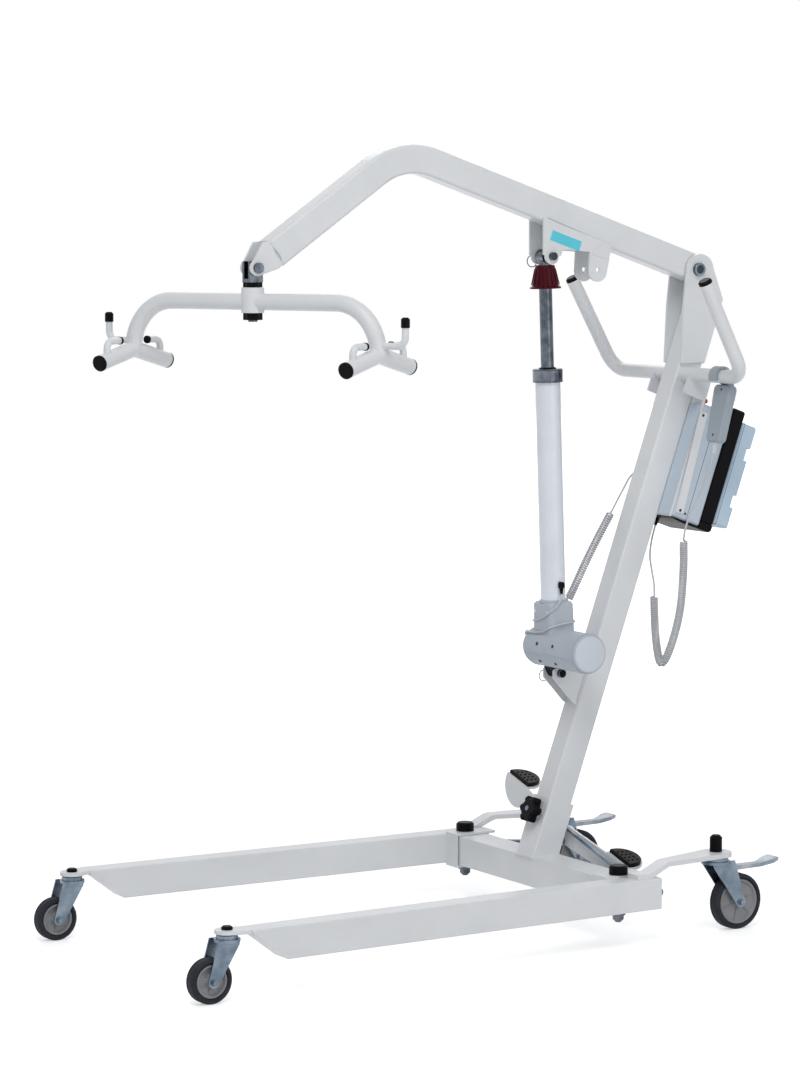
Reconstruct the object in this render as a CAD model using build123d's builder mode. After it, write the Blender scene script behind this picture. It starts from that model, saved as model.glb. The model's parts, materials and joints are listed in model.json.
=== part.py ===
"""Mobile patient lift: a wheeled base with spreading legs, a leaning mast, a powered boom and a four-point hanger.

Units are millimetres.  +Z is up, the legs and the boom point to -Y, and the origin is on the floor midway between
the two leg pivots.  "Right" is the +X side.
"""

from build123d import *
import math
import os

os.makedirs("parts", exist_ok=True)

# ---- driving sizes -------------------------------------------------------------------------------
RUNNING_FIT = 0.05  # radial clearance of a pin that turns in its bore
FACE_GAP = 0.3  # clearance between faces that slide past each other
TUBE_WALL = 3.0

# base
PIVOT_X = 250.0  # leg pivots, each side of the middle
PIVOT_BOLT_R = 6.0
BEAM_Z = (63.5, 117.5)
BEAM_HALF_DEPTH = 30.0
LEG_Z = (63.0, 118.0)
LEG_IN, LEG_WIDTH = 7.0, 45.0  # inner wall outboard of the pivot, and the tube's width
LEG_REAR_Y, LEG_FRONT_Y = 56.0, -767.0
LEG_CUT_RUN = 67.0  # how far the slanted cut runs back along the underside
LEG_SPLAY_DEG = 1.226
LEG_SPREAD_DEG = 13.0
BOX_PLATE = 4.0
BOX_DEPTH_IN = 28.0  # hinge box, inboard of the pivot
CAP_R, CAP_H = 16.5, 16.0

# casters
FRONT_STEM = (286.8, LEG_FRONT_Y - 29.0)
REAR_STEM = (254.6, 207.4)
FRONT_WHEEL_R, REAR_WHEEL_R = 37.5, 50.0
FRONT_TRAIL, REAR_TRAIL = 33.0, 44.0
WHEEL_WIDTH = 25.0
AXLE_R = 4.0
STEM_R = 6.0
FRONT_PAD_T = 6.0
ARM_T = 8.0
ARM_TOP_Z = 143.0

# pedal rocker and tie rods
ROCKER_Z, ROCKER_Y = 150.0, 54.0
ROCKER_T = 4.0
ROCKER_TILT_DEG = 16.7
ROCKER_PIN_R = 6.0
PEDAL_OUT, PEDAL_UP = 170.0, 29.0
PEDAL_DISC_R = 38.0
PEDAL_DEPTH = 46.0
CRANK_R = 15.87
CRANK_PIN_R = 3.5
ROD_EYE_R, ROD_EYE_T = 8.0, 5.0
ROD_R = 3.5
ROD_GAP = 1.5  # between a tie rod's eye and the rocker plate
CRANK_PLAY = 1.1  # a tie rod's loose fit on its crank pin
LEG_PIN = (-10.0, 42.0, 100.0)  # tie-rod pin in a leg's own frame

# mast and socket
LEAN_DEG = 19.8
MAST_FOOT = (0.0, -3.0, 118.0)
MAST_W, MAST_D, MAST_WALL = 45.0, 50.0, 2.5
MAST_LENGTH = 1068.0
SOCKET_SIDE, SOCKET_TOP = 55.0, 103.0
SOCKET_FIT = 0.3
KNOB_AT, KNOB_R, KNOB_T = 73.0, 25.0, 16.0
KNOB_BOLT_R = 5.0

# boom
BOOM_PIVOT = (325.0, 1170.0)  # (Y, Z)
BOOM_W, BOOM_D = 40.0, 50.0
BOOM_REAR, BOOM_KNEE, BOOM_FRONT = (347.0, 1165.7), (-294.9, 1378.0), (-547.0, 1204.8)
BOOM_BEND_R = 130.0
PIVOT_R = 8.0
EAR_T, EAR_GAP = 5.0, MAST_W
EAR_R = 30.0
TIP_PIN = (-586.0, 1179.0)
TIP_PIN_R = 5.0
CHEEK_T, CHEEK_OUT = 5.0, 19.0

# actuator
LOWER_PIN = (33.0, 447.0)
UPPER_PIN = (7.0, 1195.5)
ACT_PIN_R = 5.0
ACT_TUBE_R, ACT_BORE_R = 22.5, 15.0
ACT_TUBE = (129.6, 524.6)  # along the axis from the lower pin
END_RING_R, END_RING_T = 27.0, 24.0
ROD_RADIUS = 11.75
ROD_FOOT = 268.0
COLLAR = (691.5, 733.0)
COLLAR_R = (28.0, 24.0, 17.0)
EYE_W = 22.0
MOTOR_R, MOTOR_X = 36.0, (-58.0, 120.0)
MOTOR_AXIS = (27.0, 493.0)
BRACKET_IN, BRACKET_T = 14.0, 4.0

# hanger
SWIVEL_R = 8.0
HUB_R, HUB_Z = 19.5, (1103.0, 1146.0)
SPREADER_TURN_DEG = 24.8
SPREADER_R, SPREADER_Z = 14.5, 1122.0
SPREADER_HALF, SPREADER_DROP, SPREADER_BEND = 257.0, 85.0, 84.5
RAIL_R, RAIL_HALF, RAIL_FALL = 14.0, 92.0, 22.0
HOOK_R = 6.0
CANE_AT, CANE_TOP, CANE_IN = 74.0, 1052.0, 33.0
POST_OUT, POST_TOP = 54.0, 1083.0
TIP_CAP_H = 17.0

# push handle
HANDLE_R = 12.5
HANDLE_END = (207.7, 209.0, 1148.0)
HANDLE_CORNER = (201.0, 300.0, 980.0)
HANDLE_BEND = 36.0

# controls, in the mast's own frame (n to the rear, s up the mast)
BOX_HALF_X = 60.0
WEB_N, WEB_T = 25.0, 5.0
CONTROL_N, CONTROL_S = (30.0, 95.0), (655.0, 870.0)
CARRIER_N, CARRIER_S = (95.0, 124.0), (666.0, 884.0)
BATTERY_N, BATTERY_S = (124.0, 160.0), (670.0, 865.0)
TAB_S, TAB_FRONT_N = (874.0, 910.0), -22.0
STOP_X, STOP_N, STOP_R = 34.0, 42.0, 8.0

# handset
HANDSET_X = 130.0
HANDSET_TOP = (314.0, 963.0)
HANDSET_LEAN_DEG = 12.7
HANDSET_L, HANDSET_W, HANDSET_T = 105.0, 50.0, 18.0
BUTTON_R, BUTTON_TRAVEL = 7.0, 1.2

# ---- shared frames and helpers -------------------------------------------------------------------
LEAN = math.radians(LEAN_DEG)
MAST_UP = (0, math.sin(LEAN), math.cos(LEAN))
MAST_BACK = (0, math.cos(LEAN), -math.sin(LEAN))
MAST = Plane(origin=MAST_FOOT, x_dir=(1, 0, 0), z_dir=MAST_UP)
MAST_SIDE = Plane(origin=MAST_FOOT, x_dir=MAST_BACK, z_dir=(1, 0, 0))

ACT_AIM = Vector(0, UPPER_PIN[0] - LOWER_PIN[0], UPPER_PIN[1] - LOWER_PIN[1]).normalized()
ACT_LENGTH = math.hypot(UPPER_PIN[0] - LOWER_PIN[0], UPPER_PIN[1] - LOWER_PIN[1])
ACT = Plane(origin=(0, *LOWER_PIN), x_dir=(1, 0, 0), z_dir=ACT_AIM)

SPLAY = math.radians(LEG_SPLAY_DEG)
LEG = Plane(origin=(PIVOT_X, 0, 0), x_dir=(math.cos(SPLAY), math.sin(SPLAY), 0), z_dir=(0, 0, 1))
LEG_SIDE = Plane(origin=(PIVOT_X, 0, 0), x_dir=LEG.y_dir, z_dir=LEG.x_dir)

TURN = math.radians(SPREADER_TURN_DEG)
BAR_DIR = Vector(math.cos(TURN), math.sin(TURN), 0)
RAIL_DIR = Vector(-math.sin(TURN), math.cos(TURN), 0)
SWIVEL_Y = TIP_PIN[0]
BAR_PLANE = Plane(origin=(0, SWIVEL_Y, 0), x_dir=BAR_DIR, z_dir=(BAR_DIR.Y, -BAR_DIR.X, 0))


def save(part, name):
    """Label a finished piece and write it as one STEP file."""
    part.label = name
    export_step(part, f"parts/{name}.step")


def save_pair(right, name):
    """Save a right-hand piece and its mirror image on the left."""
    save(right.part, f"{name}_right")
    with BuildPart() as left:
        mirror(right.part, about=Plane.YZ)
    save(left.part, f"{name}_left")


def in_leg(x, y):
    """World (x, y) as a point of the right leg's own plan."""
    dx = x - PIVOT_X
    return (dx * math.cos(SPLAY) + y * math.sin(SPLAY), y * math.cos(SPLAY) - dx * math.sin(SPLAY))


def across(x_from, y, z):
    """A plane across the hoist at x_from, centred on (y, z), that extrudes towards +X."""
    return Plane(origin=(x_from, y, z), x_dir=(0, 1, 0), z_dir=(1, 0, 0))


# ---- base: beam, bolts and caps ------------------------------------------------------------------
BEAM_H = BEAM_Z[1] - BEAM_Z[0]
BEAM_END = PIVOT_X + 5.0
BEAM_SHOULDER = PIVOT_X - 2.0
BEAM_NOSE = 5.0

with BuildPart() as cross_beam:
    with BuildSketch(Plane.XY.offset(BEAM_Z[0])):
        with BuildLine():
            Polyline(
                (-BEAM_END, -BEAM_NOSE), (-BEAM_SHOULDER, -BEAM_HALF_DEPTH), (BEAM_SHOULDER, -BEAM_HALF_DEPTH),
                (BEAM_END, -BEAM_NOSE), (BEAM_END, BEAM_NOSE), (BEAM_SHOULDER, BEAM_HALF_DEPTH),
                (-BEAM_SHOULDER, BEAM_HALF_DEPTH), (-BEAM_END, BEAM_NOSE), close=True,
            )
        make_face()
    extrude(amount=BEAM_H)
    with BuildSketch(across(-BEAM_END, 0, sum(BEAM_Z) / 2)):
        Rectangle(2 * BEAM_HALF_DEPTH - 2 * TUBE_WALL, BEAM_H - 2 * TUBE_WALL)
    extrude(amount=2 * BEAM_END, mode=Mode.SUBTRACT)
    with BuildSketch(Plane.XY.offset(BEAM_Z[0])):
        with Locations((-PIVOT_X, 0), (PIVOT_X, 0)):
            Circle(PIVOT_BOLT_R)
    extrude(amount=BEAM_H, mode=Mode.SUBTRACT)
save(cross_beam.part, "cross_beam")

CAP_Z = LEG_Z[1] + BOX_PLATE + FACE_GAP
NUT_R = 13.0
NUT_TOP = LEG_Z[0] - BOX_PLATE - FACE_GAP
NUT_H = 9.0
DOME_R, DOME_H = 10.0, 12.0
DOME_CHAMFER = 5.0

BOLT_FOOT_Z = NUT_TOP - NUT_H
BOLT_TOP_Z = CAP_Z + CAP_H / 2

with BuildPart() as pivot_bolts:
    for side in (-1, 1):
        with BuildSketch(Plane(origin=(side * PIVOT_X, 0, BOLT_FOOT_Z))):
            Circle(PIVOT_BOLT_R)
        extrude(amount=BOLT_TOP_Z - BOLT_FOOT_Z)
        with BuildSketch(Plane(origin=(side * PIVOT_X, 0, BOLT_FOOT_Z))):
            RegularPolygon(NUT_R, 6)
        extrude(amount=NUT_H)
        with BuildSketch(Plane(origin=(side * PIVOT_X, 0, BOLT_FOOT_Z - DOME_H))):
            Circle(DOME_R)
        extrude(amount=DOME_H)
    chamfer(pivot_bolts.faces().sort_by(Axis.Z)[:2].edges(), DOME_CHAMFER)

# ---- legs ----------------------------------------------------------------------------------------
LEG_H = LEG_Z[1] - LEG_Z[0]
LEG_MID_X = LEG_IN + LEG_WIDTH / 2
FRONT_PAD = in_leg(*FRONT_STEM)
REAR_PAD = in_leg(*REAR_STEM)
PAD_R = 21.0
STEM_BORE = STEM_R + RUNNING_FIT
ARM_RISE_Y = (38.0, 76.0)
CUT_CROWN = 3.5  # upright edge left above the slanted cut


def leg_outline(shrink):
    """The leg tube's side outline, drawn in by shrink on every side."""
    Polyline(
        (LEG_REAR_Y - shrink, LEG_Z[0] + shrink), (LEG_REAR_Y - shrink, LEG_Z[1] - shrink),
        (LEG_FRONT_Y + 1.3 * shrink, LEG_Z[1] - shrink), (LEG_FRONT_Y + 1.3 * shrink, LEG_Z[1] - CUT_CROWN - shrink),
        (LEG_FRONT_Y + LEG_CUT_RUN + 1.3 * shrink, LEG_Z[0] + shrink), close=True,
    )


with BuildPart() as leg:
    with BuildSketch(LEG_SIDE.offset(LEG_IN)):
        with BuildLine():
            leg_outline(0)
        make_face()
    extrude(amount=LEG_WIDTH)
    chamfer(leg.edges().filter_by(Axis((0, 0, 0), LEG.y_dir)), 2)
    with BuildSketch(LEG_SIDE.offset(LEG_IN + TUBE_WALL)):
        with BuildLine():
            leg_outline(TUBE_WALL)
        make_face()
    extrude(amount=LEG_WIDTH - 2 * TUBE_WALL, mode=Mode.SUBTRACT)
    with BuildSketch(LEG.offset(LEG_Z[1] - FRONT_PAD_T)):
        with Locations((LEG_MID_X, LEG_FRONT_Y + 1)):
            Rectangle(LEG_WIDTH - 6, 2)
        with Locations(FRONT_PAD):
            Circle(PAD_R)
        make_hull()
        with Locations(FRONT_PAD):
            Circle(STEM_BORE, mode=Mode.SUBTRACT)
    extrude(amount=FRONT_PAD_T)
save_pair(leg, "leg")

PLATE_REAR_Y = 50.0
ARM_PAD_R = 28.0
LEG_PIN_BOSS_R = 9.0
BOX_OVER_LEG = 5.0

with BuildPart() as hinge_box:
    for z in (LEG_Z[0] - BOX_PLATE, LEG_Z[1]):
        with BuildSketch(LEG.offset(z)):
            with Locations(((LEG_IN + BOX_OVER_LEG - BOX_DEPTH_IN) / 2, (PLATE_REAR_Y - BEAM_HALF_DEPTH - 6) / 2)):
                RectangleRounded(LEG_IN + BOX_OVER_LEG + BOX_DEPTH_IN, PLATE_REAR_Y + BEAM_HALF_DEPTH + 6, 3)
            Circle(PIVOT_BOLT_R + RUNNING_FIT, mode=Mode.SUBTRACT)
        extrude(amount=BOX_PLATE)
    with BuildSketch(LEG.offset(LEG_Z[0])):
        with Locations(((LEG_IN - BOX_DEPTH_IN) / 2, -BEAM_HALF_DEPTH - 4)):
            Rectangle(LEG_IN + BOX_DEPTH_IN, BOX_PLATE)
    extrude(amount=LEG_H)
    with BuildSketch(LEG.offset(LEG_Z[0])):
        with Locations(LEG_PIN[:2]):
            Circle(CRANK_PIN_R)
    extrude(amount=LEG_H)
save_pair(hinge_box, "leg_hinge_box")

with BuildPart() as rear_arm:
    with BuildSketch(Plane(origin=(PIVOT_X, 0, 0), x_dir=LEG.y_dir, z_dir=LEG.x_dir).offset(-40)):
        with BuildLine():
            FilletPolyline(
                (8, LEG_Z[1]), (ARM_RISE_Y[0], LEG_Z[1]), (ARM_RISE_Y[1], ARM_TOP_Z - ARM_T),
                (REAR_PAD[1] + 30, ARM_TOP_Z - ARM_T), (REAR_PAD[1] + 30, ARM_TOP_Z), (ARM_RISE_Y[1] - 4, ARM_TOP_Z),
                (ARM_RISE_Y[0] - 4, LEG_Z[1] + ARM_T), (8, LEG_Z[1] + ARM_T),
                radius=(18, 22, 0.5, 0.5, 30, 10), close=False,
            )
            Line((8, LEG_Z[1] + ARM_T), (8, LEG_Z[1]))
        make_face()
    extrude(amount=120)
    with BuildSketch(LEG.offset(LEG_Z[1])):
        with Locations((LEG_MID_X + 2, 66)):
            Rectangle(LEG_WIDTH - 14, 2)
        with Locations(REAR_PAD):
            Circle(ARM_PAD_R)
        make_hull()
        with Locations((LEG_MID_X + 2, 37)):
            Rectangle(LEG_WIDTH - 14, 60)
    extrude(amount=ARM_TOP_Z - LEG_Z[1], mode=Mode.INTERSECT)
    with BuildSketch(LEG.offset(LEG_Z[1])):
        with Locations(REAR_PAD):
            Circle(STEM_BORE)
    extrude(amount=ARM_TOP_Z - LEG_Z[1], mode=Mode.SUBTRACT)
save_pair(rear_arm, "rear_arm")

BOLT_HEAD_R = 8.0
STEM_CAP_R, STEM_CAP_H = 11.0, 30.0
FRONT_CAP_H = 6.0


def dome(plane, radius, height, bore=0.0, bore_depth=0.0):
    """A cap with a rounded crown standing on the plane, bored from below where asked."""
    with BuildPart() as cap:
        with BuildSketch(plane):
            Circle(radius)
        extrude(amount=height)
        far_face = cap.faces().sort_by(Axis(plane.origin, plane.z_dir))[-1]
        chamfer(far_face.edges(), min(radius, height) * 0.4)
        if bore:
            with BuildSketch(plane):
                Circle(bore)
            extrude(amount=bore_depth, mode=Mode.SUBTRACT)
    return cap.part


def rod_between(start, end, radius):
    """A round bar from one point to another."""
    with BuildPart() as bar:
        aim = Vector(*end) - Vector(*start)
        with BuildSketch(Plane(origin=start, z_dir=aim)):
            Circle(radius)
        extrude(amount=aim.length)
    return bar.part


def leg_point(x, y, z):
    """A point of the right leg's own frame, in the world."""
    return LEG.from_local_coords(Vector(x, y, z))


with BuildPart() as leg_caps:
    add(dome(Plane(leg_point(*FRONT_PAD, LEG_Z[1])), BOLT_HEAD_R + 1.5, FRONT_CAP_H, STEM_BORE, 2.5))
    add(dome(Plane(leg_point(*REAR_PAD, ARM_TOP_Z)), STEM_CAP_R, STEM_CAP_H, STEM_BORE, 8.3))
    add(dome(Plane(leg_point(LEG_MID_X + 6, LEG_REAR_Y, 90), z_dir=LEG.y_dir), BOLT_HEAD_R, 12))
save_pair(leg_caps, "leg_caps")

# black caps over the leg pivot bolts
with BuildPart() as pivot_caps:
    for side in (-1, 1):
        with BuildSketch(Plane(origin=(side * PIVOT_X, 0, CAP_Z))):
            Circle(CAP_R)
            Circle(PIVOT_BOLT_R, mode=Mode.SUBTRACT)
        extrude(amount=CAP_H / 2)
        with BuildSketch(Plane(origin=(side * PIVOT_X, 0, CAP_Z + CAP_H / 2))):
            Circle(CAP_R)
        extrude(amount=CAP_H / 2)
    chamfer(pivot_caps.faces().sort_by(Axis.Z)[-2:].edges(), 3)

# ---- casters -------------------------------------------------------------------------------------
FORK_GAP = 30.0
FORK_T = 2.5
RACE_H = 8.0
AXLE_HEAD_R, AXLE_HEAD_T = 6.5, 3.0
TYRE_T = 10.0
TYRE_CHAMFER = 4.0
HUB_FACE = FORK_GAP - 2 * FACE_GAP
BRAKE_PIN, BRAKE_PIN_R = (27.0, 111.0), 2.5
BRAKE_TIP = 130.0


def caster(stem, top_z, stem_top_z, trail, wheel_r, rear):
    """Fork with stem, hub and tyre of one caster, as three parts; rear casters trail to +Y, front ones to -Y."""
    way = 1 if rear else -1
    side = Plane(origin=(*stem, 0), x_dir=(0, way, 0), z_dir=(way, 0, 0))
    crown_z = top_z - FACE_GAP - RACE_H
    crown_r = 22.0 if not rear else 26.0
    with BuildPart() as fork:
        for half in (-1, 1):
            inner = half * FORK_GAP / 2
            with BuildSketch(side.offset(inner if half > 0 else inner - FORK_T)):
                with Locations((trail, wheel_r)):
                    Circle(10)
                with Locations((trail * 0.15, crown_z - 4)):
                    Rectangle(2 * crown_r - 6, 8)
                make_hull()
            extrude(amount=FORK_T)
        with BuildSketch(Plane(origin=(*stem, crown_z - 5))):
            Circle(crown_r)
        extrude(amount=5)
        with BuildSketch(Plane(origin=(*stem, crown_z))):
            Circle(crown_r - 4)
        extrude(amount=RACE_H)
        chamfer(fork.faces().filter_by(Plane.XY).sort_by(Axis.Z)[-1].edges(), 2)
        with BuildSketch(Plane(origin=(*stem, top_z - FACE_GAP))):
            Circle(STEM_R)
        extrude(amount=stem_top_z - top_z + FACE_GAP)
        axle_plane = side.offset(-FORK_GAP / 2 - FORK_T - AXLE_HEAD_T)
        with BuildSketch(axle_plane):
            with Locations((trail, wheel_r)):
                Circle(AXLE_HEAD_R)
        extrude(amount=AXLE_HEAD_T)
        with BuildSketch(axle_plane):
            with Locations((trail, wheel_r)):
                Circle(AXLE_R)
        extrude(amount=FORK_GAP + 2 * FORK_T + 2 * AXLE_HEAD_T)
        with BuildSketch(side.offset(FORK_GAP / 2 + FORK_T)):
            with Locations((trail, wheel_r)):
                Circle(AXLE_HEAD_R)
        extrude(amount=AXLE_HEAD_T)
        if rear:
            with BuildSketch(side.offset(-FORK_GAP / 2)):
                with Locations(BRAKE_PIN):
                    Circle(BRAKE_PIN_R)
            extrude(amount=FORK_GAP)
    centre = Vector(stem[0], stem[1] + way * trail, wheel_r)
    section = Plane(origin=centre, x_dir=(1, 0, 0), z_dir=(0, -1, 0))
    rim_r = wheel_r - TYRE_T
    with BuildPart() as hub:
        with BuildSketch(section):
            with BuildLine():
                Polyline(
                    (-HUB_FACE / 2, AXLE_R + RUNNING_FIT), (HUB_FACE / 2, AXLE_R + RUNNING_FIT), (HUB_FACE / 2, 9),
                    (8, 11), (6, 13), (6, rim_r - 6), (10, rim_r - 3), (10, rim_r), (-10, rim_r), (-10, rim_r - 3),
                    (-6, rim_r - 6), (-6, 13), (-8, 11), (-HUB_FACE / 2, 9), close=True,
                )
            make_face()
        revolve(axis=Axis(centre, (1, 0, 0)))
    with BuildPart() as tyre:
        with BuildSketch(section) as outer_corners:
            with Locations((0, wheel_r - TYRE_T / 2)):
                Rectangle(WHEEL_WIDTH, TYRE_T)
            chamfer(outer_corners.vertices().group_by(Axis.Z)[-1], TYRE_CHAMFER)
        revolve(axis=Axis(centre, (1, 0, 0)))
    return fork, hub, tyre


for place, spec in {
    "front": (FRONT_STEM, LEG_Z[1] - FRONT_PAD_T, LEG_Z[1] + 2.2, FRONT_TRAIL, FRONT_WHEEL_R, False),
    "rear": (REAR_STEM, ARM_TOP_Z - ARM_T, ARM_TOP_Z + 8.0, REAR_TRAIL, REAR_WHEEL_R, True),
}.items():
    for name, piece in zip(("caster_fork", "caster_hub", "caster_tyre"), caster(*spec)):
        save_pair(piece, f"{name}_{place}")

REAR_SIDE = Plane(origin=(*REAR_STEM, 0), x_dir=(0, 1, 0), z_dir=(1, 0, 0))
with BuildPart() as brake_pedal:
    with BuildSketch(REAR_SIDE.offset(-17)):
        with BuildLine():
            FilletPolyline((22, 107), (95, 108), (BRAKE_TIP, 117), (BRAKE_TIP - 1, 124), (92, 114.5), (22, 115), radius=3)
            Line((22, 115), (22, 107))
        make_face()
        with Locations(BRAKE_PIN):
            Circle(6)
    extrude(amount=34)
    with BuildSketch(Plane(origin=(*REAR_STEM, 100), x_dir=(0, 1, 0), z_dir=(0, 0, 1))):
        with BuildLine():
            Polyline((18, -11), (60, -9), (95, -9), (116, -17), (BRAKE_TIP, -13), (BRAKE_TIP, 13), (116, 17), (95, 9),
                     (60, 9), (18, 11), close=True)
        make_face()
    extrude(amount=30, mode=Mode.INTERSECT)
    with BuildSketch(REAR_SIDE.offset(-17)):
        with Locations(BRAKE_PIN):
            Circle(BRAKE_PIN_R + RUNNING_FIT)
    extrude(amount=34, mode=Mode.SUBTRACT)
save_pair(brake_pedal, "brake_pedal")

# ---- pedal rocker and tie rods -------------------------------------------------------------------
TILT = math.radians(ROCKER_TILT_DEG)
ROCKER_OUT = Vector(math.cos(TILT), 0, -math.sin(TILT))
ROCKER = Plane(origin=(0, ROCKER_Y, ROCKER_Z), x_dir=-ROCKER_OUT, z_dir=(0, 1, 0))
ROCKER_HUB_R, ROCKER_HUB_T = 13.0, 12.0
PAD_INSET, PAD_T = 3.0, 7.0
PEDAL_HALF = PEDAL_DISC_R - 3.0


def pedal_plane(side, up):
    """A plane parallel to a pedal's top, at its middle on the rocker plate's front face; its y runs to the rear."""
    return Plane(ROCKER.from_local_coords(Vector(-side * PEDAL_OUT, up, 0)), x_dir=ROCKER_OUT, z_dir=ROCKER.y_dir)


def d_shape(plane, inset, height):
    """A D-shaped slab standing on the plane, straight side to the front."""
    half = PEDAL_HALF - inset
    straight = PEDAL_DEPTH - PEDAL_HALF
    with BuildPart() as slab:
        with BuildSketch(plane):
            with Locations((0, straight)):
                Circle(half)
            with Locations((0, (straight + inset) / 2)):
                Rectangle(2 * half, straight - inset)
            with Locations((0, inset - PEDAL_HALF)):
                Rectangle(4 * half, 2 * PEDAL_HALF, mode=Mode.SUBTRACT)
        extrude(amount=height)
    return slab.part


with BuildPart() as pedal_rocker:
    with BuildSketch(ROCKER):
        for side in (-1, 1):
            with BuildLine():
                Polyline((0, 18), (side * (PEDAL_OUT - 20), 26), (side * (PEDAL_OUT - 20), -8), (0, -20), close=True)
            make_face()
            with Locations((side * PEDAL_OUT, PEDAL_UP - 15)):
                Circle(PEDAL_DISC_R)
        with Locations((0, PEDAL_UP + PEDAL_DISC_R)):
            Rectangle(3 * PEDAL_OUT, 2 * PEDAL_DISC_R, mode=Mode.SUBTRACT)
        Circle(ROCKER_PIN_R + RUNNING_FIT, mode=Mode.SUBTRACT)
    extrude(amount=ROCKER_T)
    for side in (-1, 1):
        add(d_shape(pedal_plane(side, PEDAL_UP - ROCKER_T), 0, ROCKER_T))
    with BuildSketch(ROCKER.offset(ROCKER_T)):
        Circle(ROCKER_HUB_R)
        Circle(ROCKER_PIN_R + RUNNING_FIT, mode=Mode.SUBTRACT)
    extrude(amount=ROCKER_HUB_T)
    with BuildSketch(ROCKER):
        with Locations((0, CRANK_R), (0, -CRANK_R)):
            Circle(CRANK_PIN_R)
    extrude(amount=-(ROD_EYE_T + 2.5))
save(pedal_rocker.part, "pedal_rocker")

with BuildPart() as pedal_pads:
    for side in (-1, 1):
        add(d_shape(pedal_plane(side, PEDAL_UP), PAD_INSET, PAD_T))
    tops = pedal_pads.faces().filter_by(lambda f: (f.normal_at() - ROCKER.y_dir).length < 0.01)
    chamfer(tops.edges(), 1.5)
save(pedal_pads.part, "pedal_pads")

ROD_EYE_Y = ROCKER_Y - ROD_GAP - ROD_EYE_T / 2


def tie_rod(crank_up):
    """A tie rod on the right side, from the leg pin to the crank pin above (1) or below (-1) the rocker pin."""
    crank = ROCKER.from_local_coords(Vector(0, crank_up * CRANK_R, 0))
    crank = Vector(abs(crank.X), ROD_EYE_Y, crank.Z)
    foot = leg_point(*LEG_PIN)
    with BuildPart() as rod:
        add(rod_between(foot, crank, ROD_R))
        with BuildSketch(Plane(foot - Vector(0, 0, ROD_EYE_T / 2))):
            Circle(ROD_EYE_R)
        extrude(amount=ROD_EYE_T)
        crank_face = Plane(crank - Vector(0, ROD_EYE_T / 2, 0), x_dir=(1, 0, 0), z_dir=(0, 1, 0))
        with BuildSketch(crank_face):
            Circle(ROD_EYE_R)
        extrude(amount=ROD_EYE_T)
        with BuildSketch(Plane(foot - Vector(0, 0, 10))):
            Circle(CRANK_PIN_R + RUNNING_FIT)
        extrude(amount=20, mode=Mode.SUBTRACT)
        with BuildSketch(crank_face.offset(-5)):
            Circle(CRANK_PIN_R + CRANK_PLAY)
        extrude(amount=ROD_EYE_T + 10, mode=Mode.SUBTRACT)
    return rod


save(tie_rod(1).part, "tie_rod_right")
with BuildPart() as tie_rod_left:
    mirror(tie_rod(-1).part, about=Plane.YZ)
save(tie_rod_left.part, "tie_rod_left")

# ---- mast, socket and head -----------------------------------------------------------------------
BEAM_TOP = Plane.XY.offset(BEAM_Z[1])
FACE_N = SOCKET_SIDE / 2
KNOB_BOSS_R, KNOB_BOSS_T = 12.0, 8.0
PLUNGER_S, PLUNGER_R, PLUNGER_L = 88.0, 9.0, 32.0
KNOB = Plane(MAST_SIDE.from_local_coords(Vector(-FACE_N, KNOB_AT, 0)), x_dir=(1, 0, 0),
             z_dir=(0, -MAST_BACK[1], -MAST_BACK[2]))

with BuildPart() as mast_socket:
    with BuildSketch(MAST.offset(-40)):
        RectangleRounded(SOCKET_SIDE, SOCKET_SIDE, 3)
    extrude(amount=SOCKET_TOP + 40)
    split(bisect_by=BEAM_TOP, keep=Keep.TOP)
    with BuildSketch(Plane(origin=(0, 30, ROCKER_Z), x_dir=(1, 0, 0), z_dir=(0, 1, 0))):
        Circle(ROCKER_PIN_R)
    extrude(amount=ROCKER_Y + ROCKER_T + ROCKER_HUB_T + 6 - 30)
    with BuildSketch(KNOB):
        Circle(KNOB_BOSS_R)
    extrude(amount=KNOB_BOSS_T)
    with BuildSketch(MAST.offset(-60)):
        Rectangle(MAST_W + 2 * SOCKET_FIT, MAST_D + 2 * SOCKET_FIT)
    extrude(amount=SOCKET_TOP + 80, mode=Mode.SUBTRACT)
    with BuildSketch(KNOB.offset(-10)):
        Circle(KNOB_BOLT_R + RUNNING_FIT)
    extrude(amount=30, mode=Mode.SUBTRACT)
save(mast_socket.part, "mast_socket")

with BuildPart() as star_knob:
    with BuildSketch(KNOB.offset(KNOB_BOSS_T + FACE_GAP)):
        Circle(KNOB_R - 6)
        with PolarLocations(KNOB_R - 7, 6):
            Circle(7)
    extrude(amount=KNOB_T)
    chamfer(star_knob.faces().sort_by(Axis(KNOB.origin, KNOB.z_dir))[-1].edges(), 2.5)
    with BuildSketch(KNOB.offset(SOCKET_FIT + MAST_D / 2 - FACE_N + FACE_GAP)):
        Circle(KNOB_BOLT_R)
    extrude(amount=FACE_N - MAST_D / 2 + KNOB_BOSS_T)
save(star_knob.part, "star_knob")

with BuildPart() as push_handle:
    with BuildLine() as handle_path:
        x, y, z = HANDLE_END
        cx, cy, cz = HANDLE_CORNER
        FilletPolyline((x, y, z), (cx, cy, cz), (-cx, cy, cz), (-x, y, z), radius=HANDLE_BEND)
    with BuildSketch(Plane(handle_path.line @ 0, z_dir=handle_path.line % 0)):
        Circle(HANDLE_R)
    sweep()
push_handle_path = handle_path.line
save(push_handle.part, "push_handle")

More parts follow.
